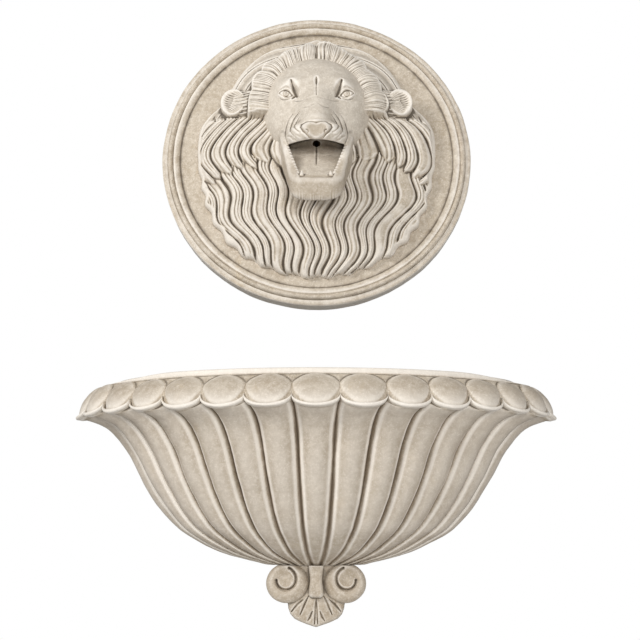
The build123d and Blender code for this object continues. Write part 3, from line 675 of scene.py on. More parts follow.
def eye_carving(x, h):
    """Lids, iris and pupil of the eye, in the front view."""
    eye_x, eye_h = 61, 86
    tilt_cos, tilt_sin = 0.94, 0.34
    u = (x - eye_x) * tilt_cos + (h - eye_h) * tilt_sin
    v = (h - eye_h) * tilt_cos - (x - eye_x) * tilt_sin
    bow = 1 - (u / 14) ** 2
    inside = smooth_step(15.5, 13, np.abs(u))
    upper_lid = 4.2 * ridge(v - 7.5 * bow, 1.5) * inside
    lower_lid = 2.2 * ridge(v + 6.2 * bow, 1.3) * inside
    upper_fold = 1.4 * ridge(v - 13.5 * (1 - (u / 20) ** 2), 1.6) * smooth_step(17, 12, np.abs(u))
    lower_fold = 1.2 * ridge(v + 12 * (1 - (u / 19) ** 2), 1.6) * smooth_step(16, 10, np.abs(u))
    iris = np.hypot(x - IRIS_X, h - IRIS_H)
    iris_ring = 2.4 * ridge(iris - 5.6, 1.1)
    pupil = 2.0 * smooth_step(3.8, 3.0, iris) * smooth_step(1.2, 2.0, iris)
    open_eye = (v < 7 * bow) & (v > -5.7 * bow)
    return np.maximum.reduce((upper_lid, lower_lid, upper_fold, lower_fold, (iris_ring + pupil) * open_eye))


def head_carving(x, h):
    """Depth of the face's grooves, in the front view."""
    cut = eye_carving(x, h)
    # Points, width and depth of each groove that runs out at its ends
    grooves = {
        "brow cut": (((50, 113), (47, 103), (43, 92), (38, 76)), 4.4, 8),
        "eye corner": (((40, 88), (41, 80), (48, 74)), 3.0, 6),
        "forehead furrow": (((0, 116), (0, 108), (0, 98)), 2.2, 5.5),
        "bridge line": (((0, 99), (0, 84), (0, 68)), 1.5, 1.8),
        "inner whisker fold": (arc_points((24, 4), 19, -70, 75, squash=1.25), 1.5, 2.6),
        "middle whisker fold": (arc_points((24, 4), 27, -62, 72, squash=1.3), 1.6, 2.2),
        "outer whisker fold": (arc_points((26, 2), 35, -40, 55, squash=1.3), 1.6, 1.2),
        "bridge wrinkle": (((0, 64), (14, 60), (30, 62), (46, 68)), 2.4, 0.8),
        "nose wrinkle": (((4, 44), (14, 38), (24, 40)), 2.4, 1.2),
        "lip line": (((8, -39), (26, -35), (44, -25), (56, -10)), 1.6, 2.0),
        "lip fold": (((30, -26), (40, -20), (47, -10)), 1.3, 1.2),
        "nostril": (arc_points((19, -20), 3.6, 70, 290), 1.1, 2.4),
    }
    for points, width, depth in grooves.values():
        cut = np.maximum(cut, stroke(x, h, points, width, depth))
    nose_edge = ((0, -4), (9, -1), (20, 1), (28, -2), (29.5, -9), (25, -18), (14, -28), (0, -35))
    cut = np.maximum(cut, stroke(x, h, nose_edge, 1.6, 3.4, taper=False))
    lip_split = ((0, -35), (0.5, -48))
    return np.maximum(cut, stroke(x, h, lip_split, 1.4, 5, taper=False))


def jaw_frame(h, d):
    """Along the tongue from the spout towards the chin, and above the tongue."""
    root_h = -8
    slope_sin, slope_cos = 0.785, 0.62
    along = (h - root_h) * -slope_sin + (d - MOUTH_BACK_DEPTH) * slope_cos
    above = (h - root_h) * slope_cos + (d - MOUTH_BACK_DEPTH) * slope_sin
    return along, above


def mouth_half_width(along):
    """Half width of the open mouth between its rows of teeth."""
    return 31 + 23 * np.clip((125 - along) / 70, 0, 1.2)


def jaw_fall(along):
    """How far the jaw's sides have come down, from 0 at the throat to 1 at the chin."""
    return smooth_step(15, 128, along)


def mouth_hollow(x, along, above):
    """The space over the creased tongue and between the teeth."""
    crease = 2.4 * ridge(x, 1.7) * smooth_step(92, 60, along)
    tongue = 2.5 * (1 - np.clip(x / 33, 0, 1.25) ** 2) - crease
    return smooth_max(tongue - above, x - mouth_half_width(along), 3)


def add_mouth(field, p):
    """Opens the mouth under an arched palate and adds the lower jaw."""
    x, h, d = p
    along, above = jaw_frame(h, d)
    hollow = mouth_hollow(x, along, above)
    palate = (h - 13 + 0.516 * (d - MOUTH_BACK_DEPTH) + 0.0042 * x**2) * 0.889
    mouth = smooth_max(smooth_max(hollow, palate, 8), MOUTH_BACK_DEPTH - d, 2)
    field = smooth_max(field, -mouth, 3)
    # Lower jaw with its raised sides and front lip
    outer = 72 - 22 * np.clip((along - 15) / 115, 0, 1)
    top = 33 - 30 * jaw_fall(along)
    chin = along - (137 - 0.38 * above - 0.0016 * x**2)
    jaw = smooth_max(x - outer, chin, 26)
    jaw = smooth_max(jaw, -40 - above, 16)
    jaw = smooth_max(jaw, above - top, 10)
    jaw = smooth_max(jaw, -26 - along, 4)
    trough = smooth_max(smooth_max(hollow, along - 128, 5), MOUTH_BACK_DEPTH - d, 2)
    jaw = smooth_max(jaw, -trough, 3)
    return smooth_min(field, jaw, 5)


def add_teeth(field, p):
    """Sets a row of small teeth along the jaw and a fang at its front."""
    x, h, d = p
    along, above = jaw_frame(h, d)
    first, spacing, radius = 20, 6.9, 3.5
    for k in range(14):
        s = first + spacing * k
        rise = 29 - 29 * jaw_fall(s)
        side = mouth_half_width(s) - 1
        gap = np.sqrt((x - side) ** 2 + (along - s) ** 2 + (above - rise) ** 2)
        field = smooth_min(field, gap - radius, 0.8)
    fang = capsule((x, along, above), (28, 118, -1), (27, 116, 8), 4.6, 2.2)
    return smooth_min(field, fang, 2)


def chin_fringe(p):
    """Short hair under the chin."""
    x, h, d = p
    comb = np.cos(x * 1.5 + 1.6 * np.sin(x * 0.31)) * (0.6 + 0.4 * np.sin(x * 0.23 + 1))
    return 0.5 * comb * smooth_step(-126, -136, h) * smooth_step(120, 145, d)


def head_painted_light_and_shade(obj):
    """Painted light making the face and tongue paler, and painted shade making the chin, nose, iris and inner
    corner of each eye darker.
    """
    x, h, d = front_view(obj)
    ax = np.abs(x)
    along, above = jaw_frame(h, d)
    tongue = smooth_step(9, 5, np.abs(above)) * smooth_step(38, 32, ax) * smooth_step(124, 116, along)
    # Painted shade darker towards the chin, painted light paler towards the brow
    tone = 0.22 - 0.44 * smooth_step(-105, -5, h)
    # Painted shade on the nose's front, which faces down
    tone += 0.42 * smooth_step(1.05, 0.85, np.hypot(x / 27, (h + 15) / 15)) * smooth_step(168, 180, d)
    # Painted shade in the carved iris ring and pupil
    iris = np.hypot(ax - IRIS_X, h - IRIS_H)
    tone += 0.5 * ridge(iris - 5.4, 1.4) + 0.6 * smooth_step(3.2, 1.6, iris)
    # Painted shadow at the inner corner of each eye, beside the brow cut
    tone += 0.35 * smooth_step(1.3, 0.5, np.hypot((ax - 45) / 5, (h - 82) / 9))
    # Painted light on the tongue, which is paler and free of the painted shade
    return tone * (1 - tongue) - 0.12 * tongue


class FOUNTAIN_OT_head(bpy.types.Operator):
    """Carves the lion's head, mouth and jaw"""

    bl_idname = "fountain.head"
    bl_label = "Head"

    def execute(self, context):
        cell = context.scene.fountain_lion.voxel / MM
        low = np.array((0.0, -168.0, 58.0))
        high = np.array((132.0, 206.0, 214.0))
        p = x, h, d = field_axes(low, high, cell, np.float32)
        field = add_eye(head_forms(p), p)
        cut = head_carving(x[:, :, 0], h[:, :, 0])[:, :, None]
        field = field + cut * smooth_step(96, 118, d)
        field = add_mouth(field, p)
        field = add_teeth(field, p)
        field = field + chin_fringe(p)
        # Spout's passage on the plaque's axis
        bore_radius, bore_front = 7.9, 130
        field = np.maximum(field, -np.maximum(np.sqrt(x**2 + h**2) - bore_radius, d - bore_front))
        # The root lies inside the mane, where one flat face closes it
        root_depth, root_cut = 62, 0.067
        field = smooth_max(field, root_depth - d, 2)
        whole = np.concatenate((field[:0:-1], field), axis=0)
        low[0] = -cell * (len(x) - 1)
        obj = field_object("lion_head", whole, low, cell, from_wall)
        with editing(obj):
            bpy.ops.mesh.bisect(
                plane_co=(0, -root_cut, 0), plane_no=(0, 1, 0), use_fill=True, clear_outer=True
            )
        tidy_normals(obj)
        roughen(obj, 0.02, 0.0007)
        # The head's tone is painted light and shade
        mark_carving(obj, tone=head_painted_light_and_shade(obj))
        place(obj, "lion_mask")
        return {"FINISHED"}


# Lion's mane


def mane_outline(turn):
    """The mane's edge, as a distance from the plaque's centre at each angle."""
    angle = np.degrees(np.arcsin(np.sin(turn)))
    stations = (-90, -65, -51, -34, -15, 5, 14, 24, 29, 40, 53, 66, 90)
    edges = (263, 262, 263, 254, 243, 247, 249, 236, 226, 234, 250, 259, 258)
    blur = (-4, -2, 0, 2, 4)
    edge = sum(np.interp(angle + shift, stations, edges) for shift in blur) / len(blur)
    tips = smooth_step(0.1, -0.5, np.sin(turn)) * 3.2 * np.sin(turn * 37 + 0.5 * np.sin(turn * 9))
    return edge + tips + 7 * ridge(angle - 90, 3.5)


def scatter(number, seed):
    """A steady value from 0 to 1 for each whole number."""
    value = np.sin(number * 12.9898 + seed * 4.1) * 43758.5453
    return value - np.floor(value)


def lock_profile(c, pitch, depth, seed):
    """Rounded locks with a dark cut between them and finer strands, for a running lock number c."""
    number = np.floor(c)
    t = c - number
    gap = np.minimum(t, 1 - t) * pitch
    vary = scatter(number, seed)
    groove = depth * ridge(gap, 2.0) + 0.25 * depth * ridge(gap, 5.0)
    crown = 0.38 * depth * (1 - np.abs(2 * t - 1) ** 2.5)
    left = 0.26 * depth * ridge((t - 0.26 - 0.10 * vary) * pitch, 1.9)
    right = 0.24 * depth * ridge((t - 0.62 - 0.14 * scatter(number, seed + 3)) * pitch, 1.9)
    strands = (left + right) * (0.3 + 0.7 * (vary > 0.3))
    return crown - groove - strands + 0.45 * depth * (vary - 0.5)


def long_locks(x, h, dome, lock_depth):
    """Long locks that fall in waves to the bottom."""
    locks_per_side = 9
    spread = 250 * np.sqrt(np.clip(1 - (h / 290) ** 2, 0.08, 1))
    phase = (h + 20 + 12 * np.sin(x / 70)) / 17
    wave = 8.5 * np.sin(phase) * smooth_step(30, -60, h) + 5 * np.sin(0.45 * phase + 1.0 + x / 90)
    c = (x - wave) / spread * locks_per_side
    c = c + 0.16 * np.sin(c * 2.3 + 0.8) + 0.10 * np.sin(h / 37 + c)
    return dome - 3 + lock_profile(c, spread / locks_per_side, lock_depth, 1.0)


def short_locks(x, h, dome, lock_depth):
    """Shorter locks that curve out from the cheeks, and how far they cover the long ones."""
    pitch = 26
    side = np.sign(x + 1e-9)
    ax = np.abs(x)
    bow = 46 * np.maximum(1 - ((h + 8) / 68) ** 2, -0.12) * (0.55 + 0.45 * smooth_step(80, 150, ax))
    fan = ax - 60 - bow + 3 * np.sin(h / 15 + side)
    c = fan / pitch + 0.14 * np.sin(fan / 17 + 2 * side)
    number = np.floor(c)
    uneven = 26 * (scatter(number, 5 + side) - 0.5) * smooth_step(205, 170, ax)
    tip = -40 - uneven - 42 * smooth_step(150, 235, ax) + 60 * np.abs(c - number - 0.45) ** 1.6
    surface = dome + 7 + lock_profile(c, pitch, lock_depth, 2.0 + side)
    surface = surface - 6 * smooth_step(24, 0, h - tip)
    return surface, smooth_step(-2, 3, h - tip) * smooth_step(84, 66, h)


def brow_hair(x, h):
    """Fine strands in tufts that stand out from the face, and where they lie."""
    hx, hh = x / 0.94, h - 74
    angle = np.arctan2(hh, hx)
    ring = np.hypot(hx, hh)
    comb = angle + 0.018 * np.sin(ring / 14 + 5 * angle)
    tuft = np.abs(np.sin(comb * 8.5 + 0.9 * np.sin(angle * 3) + 0.5 * np.sin(angle * 7 + 1)))
    rim = 146 + 9 * tuft**0.7 + 5 * np.sin(angle * 5 + 1)
    strands = 1.1 * np.sin(comb * 57 + 2 * np.sin(comb * 13)) * (0.6 + 0.4 * np.sin(ring / 9 + 6 * angle))
    strands = strands + 0.7 * np.sin(comb * 163 + 4 * np.sin(angle * 19) + ring / 16)
    swell = 9 * np.sin(np.clip((ring - 98) / 52, 0, 1) * math.pi)
    hair = 110 + swell - 0.22 * (ring - 105) + 2 * tuft + strands
    parting = 5 * ridge(angle - math.pi / 2, 0.03)
    hair = hair - parting - 40 * smooth_step(98, 84, ring)
    return hair, smooth_step(rim + 2, rim - 4, ring) * smooth_step(-16, -6, hh)


def temple_hair(x, h):
    """Tufts of hair between the face and the ears, and where they lie."""
    side = np.sign(x + 1e-9)
    ax = np.abs(x)
    lower = smooth_step(60, 67, h + 5 * np.sin(ax / 11 + side))
    upper = smooth_step(140, 126, h + 0.15 * (170 - ax))
    strokes = 1.5 * np.sin(h * 0.86 + 2.4 * np.sin(ax / 19 + side)) + 1.0 * np.sin(h * 1.9 + ax / 8)
    hair = 106 - 0.27 * (ax - 95) + strokes - 0.012 * (h - 98) ** 2
    return hair, lower * upper * smooth_step(184, 168, ax)


def ears(x, h):
    """Ears with a rolled outer rim and ribs of hair inside, and where they lie."""
    half_width, half_height = 26, 30
    ex, eh = np.abs(x) - 172, h - 99
    er = np.hypot(ex / half_width, eh / half_height)
    outward = (ex / half_width + 0.4 * eh / half_height) / np.maximum(er, 0.05)
    rim_side = smooth_step(-0.2, 0.6, outward)
    ear = 84 + 1.6 * ridge(er - 0.84, 0.18) * rim_side - 1.4 * smooth_step(0.75, 0.40, er) * rim_side
    ribs = np.sin(np.arctan2(eh + 6, ex + 34) * 58 + 1.4 * np.sin(ex / 5))
    ear = ear + 0.6 * ribs * smooth_step(0.85, 0.6, er) + 6 * smooth_step(10, -22, ex)
    return ear, smooth_step(1.05, 0.93, er)


def mane_depth(x, h, lock_depth):
    """Depth of the mane's surface from the wall at each place in the front view."""
    turn = np.arctan2(h, x)
    reach = np.hypot(x, h) / mane_outline(turn)
    dome = 48 + 44 * np.clip(1 - reach**2, 0, 1) ** 0.75
    surface = long_locks(x, h, dome, lock_depth)
    short, cover = short_locks(x, h, dome, lock_depth)
    surface = surface + (short - surface) * cover
    # Locks that run along the mane's sides end in a plain edge
    plain = smooth_step(0.945, 0.975, reach) * smooth_step(-0.90, -0.75, np.sin(turn))
    surface = surface + (dome + 1 - surface) * plain
    # Smooth band of mane behind the hair at the top
    flow = reach * 62 + 2.2 * np.sin(turn * 5 + np.sign(x + 1e-9))
    band = dome - 2 + 2.0 * np.cos(flow) - 4.5 * ridge(np.sin(flow / 2), 0.14)
    surface = surface + (band - surface) * smooth_step(58, 88, h)
    for form, cover in (brow_hair(x, h), temple_hair(x, h), ears(x, h)):
        surface = np.maximum(surface, surface + (form - surface) * cover)
    return surface


def part_mane(whole):
    """Parts the mane at the spout's level, as one mesh would be too heavy."""
    level = bpy.context.scene.fountain_plaque.height
    above = [polygon.center.z > level for polygon in whole.data.polygons]
    with editing(whole):
        bpy.ops.mesh.select_mode(type="FACE")
        bpy.ops.mesh.select_all(action="DESELECT")
    whole.data.polygons.foreach_set("select", above)
    bpy.ops.object.mode_set(mode="EDIT")
    bpy.ops.mesh.separate(type="SELECTED")
    bpy.ops.object.mode_set(mode="OBJECT")
    upper = next(obj for obj in bpy.context.selected_objects if obj != whole)
    upper.name = upper.data.name = "mane_upper"
    for obj in (upper, whole):
        with editing(obj):
            bpy.ops.mesh.fill_holes(sides=0)
            bpy.ops.mesh.select_all(action="SELECT")
            bpy.ops.mesh.normals_make_consistent(inside=False)
        # The faces that close the joint stay flat
        for polygon in obj.data.polygons:
            polygon.use_smooth = len(polygon.vertices) == 4
    return upper, whole


class FOUNTAIN_OT_mane(bpy.types.Operator):
    """Carves the mane, brow hair and ears round the head"""

    bl_idname = "fountain.mane"
    bl_label = "Mane"

    def execute(self, context):
        settings = context.scene.fountain_lion
        turns = np.linspace(0, 2 * math.pi, settings.mane_turns, endpoint=False)
        edge = mane_outline(turns)
        # The ring starts inside the head and ends in a rounded edge
        hole_half_width, hole_below, hole_above = 72, 52, 96
        tall = np.where(np.sin(turns) < 0, hole_below, hole_above)
        hole = 1 / np.sqrt((np.cos(turns) / hole_half_width) ** 2 + (np.sin(turns) / tall) ** 2)
        shares = np.concatenate((np.linspace(0, 0.978, settings.mane_rows), (0.988, 0.996, 1.0)))
        reach = hole[:, None] + (edge - hole)[:, None] * shares[None, :]
        x, h = reach * np.cos(turns)[:, None], reach * np.sin(turns)[:, None]
        depth = mane_depth(x, h, settings.lock_depth / MM)
        depth[:, -3:] -= (1.0, 3.0, 6.5)
        foot = np.full((len(turns), 1), MANE_FOOT_DEPTH)
        x = np.concatenate((x[:, :1], x, x[:, -1:]), axis=1)
        h = np.concatenate((h[:, :1], h, h[:, -1:]), axis=1)
        depth = np.concatenate((foot, depth, foot), axis=1)
        points = np.column_stack((x.ravel(), h.ravel(), depth.ravel()))
        faces = row_faces(*x.shape, closed=True)
        obj = new_object("mane_lower", from_wall(points) * MM, faces)
        tidy_normals(obj)
        roughen(obj, 0.02, 0.0006)
        mark_carving(obj, tone=0.04 - 0.24 * smooth_step(50, 90, front_view(obj)[1]))
        for half in part_mane(obj):
            place(half, "lion_mask")
        return {"FINISHED"}


# Basin


class BasinPlan:
    """Places along the basin's lobed front, seen from above, from the left end to the right."""

    def __init__(self, settings):
        self.half_width = settings.half_width / MM
        self.depth = settings.depth / MM
        self.swell = settings.swell / MM
        lobes, steps_per_lobe, oval_steps = settings.lobes, 26, 6000
        oval = np.linspace(math.pi, 2 * math.pi, oval_steps + 1)
        steps = np.hypot(np.diff(self.half_width * np.cos(oval)), np.diff(self.depth * np.sin(oval)))
        length = np.concatenate(([0], np.cumsum(steps)))
        # Places lie closer together at the cusps
        ease = 0.5 - 0.5 * np.cos(np.linspace(0, math.pi, steps_per_lobe, endpoint=False))
        number = np.concatenate([k + ease for k in range(lobes)] + [[lobes]])
        across = 2 * number / lobes - 1
        # The lobes in front are a little wider than the ones at the sides
        along = across + 0.022 * np.sin(1.35 * math.pi * across) * (1 - across**2)
        self.angle = np.interp((along + 1) / 2 * length[-1], length, oval)
        cos, sin = np.cos(self.angle), np.sin(self.angle)
        self.base = np.column_stack((self.half_width * cos, self.depth * sin))
        out = np.column_stack((self.depth * cos, self.half_width * sin))
        self.out = out / np.hypot(out[:, 0], out[:, 1])[:, None]
        # Place within a lobe, its distance from the cusp, and two arches over the lobe
        self.t = number % 1.0
        self.gap = np.minimum(self.t, 1 - self.t) * length[-1] / lobes
        self.bow = 4 * self.t * (1 - self.t)
        self.arch = np.sqrt(np.clip(1 - (2 * self.t - 1) ** 2, 0, 1))
        # The lip falls towards the front and droops at the middle of each lobe
        self.sag = 8 * across**2 - 3
        self.lift = 19 * (1 - self.arch) + self.sag
        self.edge = self.swell * (0.6 * self.bow + 0.4 * self.arch)
        # The rim rises, and its plain ring sinks, towards the two ends
        self.rise = 7 * smooth_step(0.62, 1.0, np.abs(across))
        self.ring = 1 - 0.93 * smooth_step(0.45, 0.86, np.abs(across))

    def row(self, outward, level, share=1.0):
        """One row of points along the front, moved outwards from the oval or a smaller one."""
        return np.column_stack((share * self.base + self.out * outward[:, None], level))

    def even(self, value):
        """The same value all along the front."""
        return np.full(len(self.t), value)


def flute_rows(plan):
    """The fluted underside, from the foot up to the lip, with painted shade in the cuts between painted
    highlights on the edges, and painted shade over the flutes.
    """
    levels = (BOWL_FOOT_LEVEL, -245, FLOOR_LEVEL, -160, -110, -60, -32, -14, -2.5)
    shares = (0.185, 0.378, 0.548, 0.638, 0.710, 0.768, 0.816, 0.875, 0.955)
    row_count, blur, passes = 120, 7, 4
    stations = np.arange(len(levels))
    places = np.linspace(0, stations[-1], row_count)
    level = np.interp(places, stations, levels)
    share = np.interp(places, stations, shares)
    margin = blur // 2
    for _ in range(passes):
        for curve in (level, share):
            curve[margin:-margin] = np.convolve(curve, np.ones(blur) / blur, "valid")
    for z, s in zip(level, share):
        wide = plan.gap * s
        flare = float(smooth_step(-44, -3, z))
        cut = 0.56 * ridge(wide, 3.6) - 0.05 * ridge(wide - 6.5, 1.8)
        flute = (0.35 + s) * (0.86 * plan.bow + 0.22 * plan.arch - cut)
        bulge = plan.swell * (flute * (1 - 0.55 * flare) + 0.5 * flare * plan.arch)
        # Painted shade along each cut and a painted highlight on the flute's edge beside it
        line = 0.85 * ridge(wide, 2.6) - 0.34 * ridge(wide - 5.0, 1.6)
        # The flutes away from the cuts get painted shade as well
        yield plan.row(bulge, z + plan.lift * flare, s), line + 0.28 * smooth_step(5, 10, wide)


def lip_rows(plan):
    """The thin lip that overhangs the flutes, as inset and level from below to above."""
    section = (
        (9.0, -3.2), (6.5, -2.2), (3.0, -1.8), (0.5, -1.4), (-0.9, -0.4), (-1.6, 1.2),
        (-1.2, 3.0), (0.0, 4.2), (1.6, 4.8), (3.2, 4.6), (4.4, 3.8), (5.2, 2.2),
    )
    for inset, z in section:
        yield plan.row(plan.edge - inset, z + plan.lift), plan.even(-0.15)


def egg_rows(plan):
    """A convex egg that fills each lobe, between the lip and the plain ring."""
    row_count, egg_rise, foot_inset, top_inset = 36, 5.5, 5.5, 28
    for v in np.linspace(0, 1, row_count):
        lens = 1 - np.abs((2 * plan.t - 1) / 0.99) ** 2.1 - np.abs((v - 0.50) / 0.52) ** 2.1
        lens = np.clip(lens, 0, 1) ** 0.55 * smooth_step(0, 0.05, v)
        outward = (1 - v) * (plan.edge - foot_inset) - top_inset * v**1.9 + egg_rise * lens - 0.9
        level = (1 - v) * (1.5 + plan.lift) + (EGG_TOP_LEVEL + 0.5 * plan.sag + plan.rise) * v
        yield plan.row(outward, level + egg_rise * lens), 0.22 * smooth_step(0.35, 0.85, lens)


def ring_rows(plan):
    """The plain ring inside the eggs, as inset and level."""
    section = ((30.5, 0), (29.2, 1.5), (28.6, 3.5), (28.4, 7.5), (29.2, 10.7), (32, 12.1), (40, 12.5))
    foot = EGG_TOP_LEVEL + 0.5 + 0.4 * plan.sag + plan.rise
    for inset, z in section:
        yield plan.row(plan.even(-inset), foot + z * plan.ring), plan.even(-0.12)


def hollow_rows(plan):
    """The hollow for the water down to its floor, as level, share of the oval and wall."""
    section = (
        (69.5, 0.9156, 30), (66, 0.9156, 28), (3, 0.847, 35), (-60, 0.780, 48),
        (-110, 0.720, 50), (-160, 0.652, 52), (-202, 0.578, 52), (FLOOR_LEVEL, 0.572, 54),
    )
    for z, share, wall in section:
        half = plan.half_width * share - wall
        deep = plan.depth * share - wall - BACK_WALL
        x, y = half * np.cos(plan.angle), deep * np.sin(plan.angle) - BACK_WALL
        yield np.column_stack((x, y, plan.even(z))), plan.even(0.0)


def close_row(front, back=0.0):
    """Closes a row by a straight stretch along the wall, or along the hollow's back."""
    stretch_steps = 62
    front[:, 1] = np.minimum(front[:, 1], -back)
    share = np.linspace(1, -1, stretch_steps)[1:-1, None] * 0.5 + 0.5
    return np.concatenate((front, front[-1] * share + front[0] * (1 - share)))


def drill(obj, centre, radius, length, tilt):
    """Cuts a round hole through a piece."""
    bpy.ops.mesh.primitive_cylinder_add(
        vertices=48, radius=radius, depth=length, location=centre, rotation=(tilt, 0, 0)
    )
    bit = bpy.context.object
    only(obj)
    cut = obj.modifiers.new("cut", "BOOLEAN")
    cut.operation = "DIFFERENCE"
    cut.solver = "MANIFOLD"
    cut.object = bit
    bpy.ops.object.modifier_apply(modifier="cut")
    bpy.data.objects.remove(bit)


class FOUNTAIN_OT_basin(bpy.types.Operator):
    """Carves the fluted basin with its lobed rim and its hollow"""

    bl_idname = "fountain.basin"
    bl_label = "Basin"

    def execute(self, context):
        plan = BasinPlan(context.scene.fountain_basin)
        outside = [*flute_rows(plan), *lip_rows(plan), *egg_rows(plan), *ring_rows(plan)]
        inside = list(hollow_rows(plan))
        rows = [close_row(row) for row, _ in outside] + [close_row(row, BACK_WALL) for row, _ in inside]
        width = len(rows[0])
        points = np.concatenate(rows)
        faces = row_faces(len(rows), width)
        faces.append(list(range(width))[::-1])
        faces.append([(len(rows) - 1) * width + k for k in range(width)])
        obj = new_object("basin_stone", points * MM, faces)
        tidy_normals(obj)
        tones = np.zeros((len(rows), width))
        tones[:, :len(plan.t)] = [tone for _, tone in outside + inside]
        mark_carving(obj, fine=4, broad=24, fine_size=0.0006, broad_size=0.009, tone=tones.ravel())
        # The back, the foot and the top of the rim stay even
        y, z = points[:, 1], points[:, 2]
        carved = (y < -1e-6) & (z > BOWL_FOOT_LEVEL + 0.1) & (z < 65)
        roughen(obj, 0.05, 0.0014, carved)
        roughen(obj, 0.014, 0.0004, carved)
        # Drain in the floor, its waste bore to the wall, and the hose hole through the back wall
        drill(obj, (0.125, -0.064, -0.1875), 0.0123, 0.075, 0.0)
        drill(obj, (0.125, -0.022, -0.219), 0.007, 0.084, math.pi / 2)
        drill(obj, (0.095, -0.02, 0.028), 0.0151, 0.1, math.pi / 2)
        place(obj, "basin_bowl")
        return {"FINISHED"}


# Corbel, in the fountain's x and z and with d out from the wall


def prism(flat, d, depth, edge):
    """An outline carried out from the wall, with rounded front edges."""
    over = flat + edge
    front = d - depth + edge
    return np.minimum(np.maximum(over, front), 0) + np.hypot(np.maximum(over, 0), np.maximum(front, 0)) - edge


def corbel_scrolls(ax, z, d):
    """Two scrolls on a plain core, each with a spiral groove and a dished eye."""
    gap = np.hypot((ax - 53) / 38, (z + 298) / 34)
    scroll = prism((gap - 1) * 35, d, 57, 9)
    core = prism(np.maximum(ax - 50, np.abs(z + 300) - 34), d, 47, 6)
    field = smooth_min(scroll, core, 4)
    eye_x, eye_z = 56, -292
    spiral = []
    for k in range(19):
        turn = math.radians(107 + 253 * k / 18)
        r = 22.5 - 6 * math.sin(math.pi / 2 * min(1.0, k / 13))
        spiral.append((eye_x + r * math.cos(turn), eye_z + r * math.sin(turn)))
    flat_x, flat_z = ax[:, :, 0], z[:, :, 0]
    groove = stroke(flat_x, flat_z, spiral, 2.1, 9.0, taper=False)
    ring = np.hypot(flat_x - eye_x, flat_z - eye_z)
    dish = 2.5 * smooth_step(18, 6, ring) - 2.5 * ridge(ring - 26, 7)
    return field + (groove + dish)[:, :, None] * smooth_step(36, 50, d)


def corbel_leaf(ax, z, d):
    """A fan-shaped leaf with a pointed tip and chiselled rays."""
    tip = -374
    levels = (tip, -369, -365, -360, -352, -342, -331, -320)
    half_widths = (1, 16, 28, 39, 47, 51, 52, 48)
    outline = np.interp(z, levels, half_widths)
    edge = np.maximum((ax - outline) * np.where(z < -358, 0.55, 0.9), tip - z)
    bulge = 44 + 10 * np.clip(1 - (ax / 60) ** 2 - ((z + 338) / 52) ** 2, 0, 1)
    leaf = smooth_max(edge, d - bulge, 9)
    rays = (
        ((0, -324), (1, -342), (3, -368)),
        ((7, -346), (11, -356), (15, -362)),
        ((14, -320), (21, -334), (29, -352)),
        ((24, -326), (34, -334), (45, -347)),
    )
    cuts = [stroke(ax[:, :, 0], z[:, :, 0], ray, 1.7, 4.5) for ray in rays]
    return leaf + np.maximum.reduce(cuts)[:, :, None] * smooth_step(20, 40, d)


def corbel_tongue(ax, z, d):
    """The tongue between the scrolls, waisted in the middle."""
    waist = 4 + 2.5 * smooth_step(-292, -314, z) + 2.5 * smooth_step(-288, -268, z)
    stem = np.hypot(np.maximum(ax - waist, 0), np.maximum(-z - 315, 0)) - 7
    return prism(stem, d, 68, 6)


class FOUNTAIN_OT_corbel(bpy.types.Operator):
    """Carves the scrolled corbel under the bowl"""

    bl_idname = "fountain.corbel"
    bl_label = "Corbel"

    def execute(self, context):
        # Properties hold single precision, so the cell is rounded back to what was set
        cell = round(context.scene.fountain_corbel.voxel / MM, 4)
        low = np.array((-96.0, -380.0, -3.0))
        high = np.array((96.0, -262.0, 76.0))
        x, z, d = field_axes(low, high, cell)
        ax = np.abs(x)
        field = smooth_min(corbel_scrolls(ax, z, d), corbel_leaf(ax, z, d), 2)
        field = smooth_min(field, corbel_tongue(ax, z, d), 2.5)
        field = np.maximum(np.maximum(field, -d), z - BOWL_FOOT_LEVEL)
        obj = field_object(
            "corbel_stone", field, low, cell, lambda q: np.column_stack((q[:, 0], -q[:, 2], q[:, 1]))
        )
        tidy_normals(obj)
        roughen(obj, 0.02, 0.0006)
        mark_carving(obj, fine=5, broad=30, tone=0.15)
        place(obj, "corbel")
        return {"FINISHED"}


# Stage


def studio_world(strength):
    """Soft light all round, with a white backdrop for the camera."""
    world = bpy.data.worlds.new("Studio")
    world.use_nodes = True
    nodes, links = world.node_tree.nodes, world.node_tree.links
    soft = nodes["Background"]
    soft.inputs["Color"].default_value = (1, 1, 1, 1)
    soft.inputs["Strength"].default_value = strength
    white = nodes.new("ShaderNodeBackground")
    white.inputs["Color"].default_value = (1, 1, 1, 1)
    seen = nodes.new("ShaderNodeLightPath")
    mix = nodes.new("ShaderNodeMixShader")
    links.new(seen.outputs["Is Camera Ray"], mix.inputs["Fac"])
    links.new(soft.outputs["Background"], mix.inputs[1])
    links.new(white.outputs["Background"], mix.inputs[2])
    links.new(mix.outputs["Shader"], nodes["World Output"].inputs["Surface"])
    return world


def add_lamp(name, where, target, size, power):
    """A square lamp that points at a target."""
    light = bpy.data.lights.new(name, "AREA")
    light.size = size
    light.energy = power
    lamp = bpy.data.objects.new(name, light)
    bpy.context.scene.collection.objects.link(lamp)
    lamp.location = where
    lamp.rotation_euler = (Vector(target) - Vector(where)).to_track_quat("-Z", "Y").to_euler()


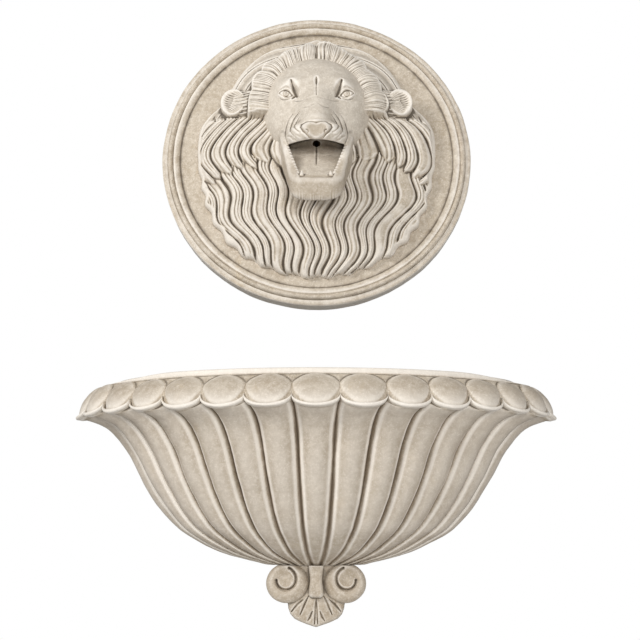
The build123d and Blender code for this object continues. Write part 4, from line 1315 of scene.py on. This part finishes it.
class FOUNTAIN_OT_stage(bpy.types.Operator):
    """Sets the floor, the light and the camera"""

    bl_idname = "fountain.stage"
    bl_label = "Stage"

    def execute(self, context):
        settings = context.scene.fountain_stage
        bpy.ops.mesh.primitive_plane_add(size=4.0, location=(0, -0.6, -1.15))
        floor = context.object
        floor.name = "floor"
        pale = bpy.data.materials.new("Floor")
        pale.use_nodes = True
        shader = pale.node_tree.nodes["Principled BSDF"]
        shader.inputs["Base Color"].default_value = (0.8, 0.8, 0.8, 1)
        shader.inputs["Roughness"].default_value = 0.9
        floor.data.materials.append(pale)
        context.scene.world = studio_world(settings.sky)
        add_lamp("key", (-1.9, -1.8, 1.1), (0, 0, 0.3), size=0.9, power=43.0)
        add_lamp("front", (0.3, -2.7, 0.1), (0, 0, 0.35), size=0.9, power=34.0)
        add_lamp("fill", (2.1, -1.8, 0.3), (0, 0, 0.2), size=2.0, power=9.0)
        camera = bpy.data.cameras.new("camera")
        camera.lens = settings.lens
        camera.sensor_width = 36.0
        viewer = bpy.data.objects.new("camera", camera)
        context.scene.collection.objects.link(viewer)
        viewer.location = (settings.aside, -settings.distance, settings.level)
        viewer.rotation_euler = (math.pi / 2 + settings.pitch, 0, 0)
        context.scene.camera = viewer
        context.scene.view_settings.view_transform = "Standard"
        return {"FINISHED"}


class FOUNTAIN_PT_panel(bpy.types.Panel):
    """Sidebar panel of the fountain"""

    bl_idname = "FOUNTAIN_PT_panel"
    bl_label = "Fountain"
    bl_space_type = "VIEW_3D"
    bl_region_type = "UI"
    bl_category = "Fountain"

    def draw(self, context):
        for name, group in SETTINGS.items():
            settings = getattr(context.scene, name)
            for key in group.__annotations__:
                self.layout.prop(settings, key)
        for operator in OPERATORS:
            self.layout.operator(operator.bl_idname)


OPERATORS = (
    FOUNTAIN_OT_finishes,
    FOUNTAIN_OT_plaque,
    FOUNTAIN_OT_mane,
    FOUNTAIN_OT_head,
    FOUNTAIN_OT_basin,
    FOUNTAIN_OT_corbel,
    FOUNTAIN_OT_stage,
)
CLASSES = tuple(SETTINGS.values()) + OPERATORS + (FOUNTAIN_PT_panel,)


def register():
    """Registers the classes and the scene's settings."""
    for cls in CLASSES:
        bpy.utils.register_class(cls)
    for name, group in SETTINGS.items():
        setattr(bpy.types.Scene, name, bpy.props.PointerProperty(type=group))


def unregister():
    """Takes the settings and the classes away again."""
    for name in SETTINGS:
        delattr(bpy.types.Scene, name)
    for cls in reversed(CLASSES):
        bpy.utils.unregister_class(cls)


def main():
    """Builds every piece in order."""
    register()
    bpy.ops.object.select_all(action="DESELECT")
    bpy.ops.fountain.finishes()
    bpy.ops.fountain.plaque()
    bpy.ops.fountain.mane()
    bpy.ops.fountain.head()
    bpy.ops.fountain.basin()
    bpy.ops.fountain.corbel()
    bpy.ops.fountain.stage()


if __name__ == "__main__":
    main()
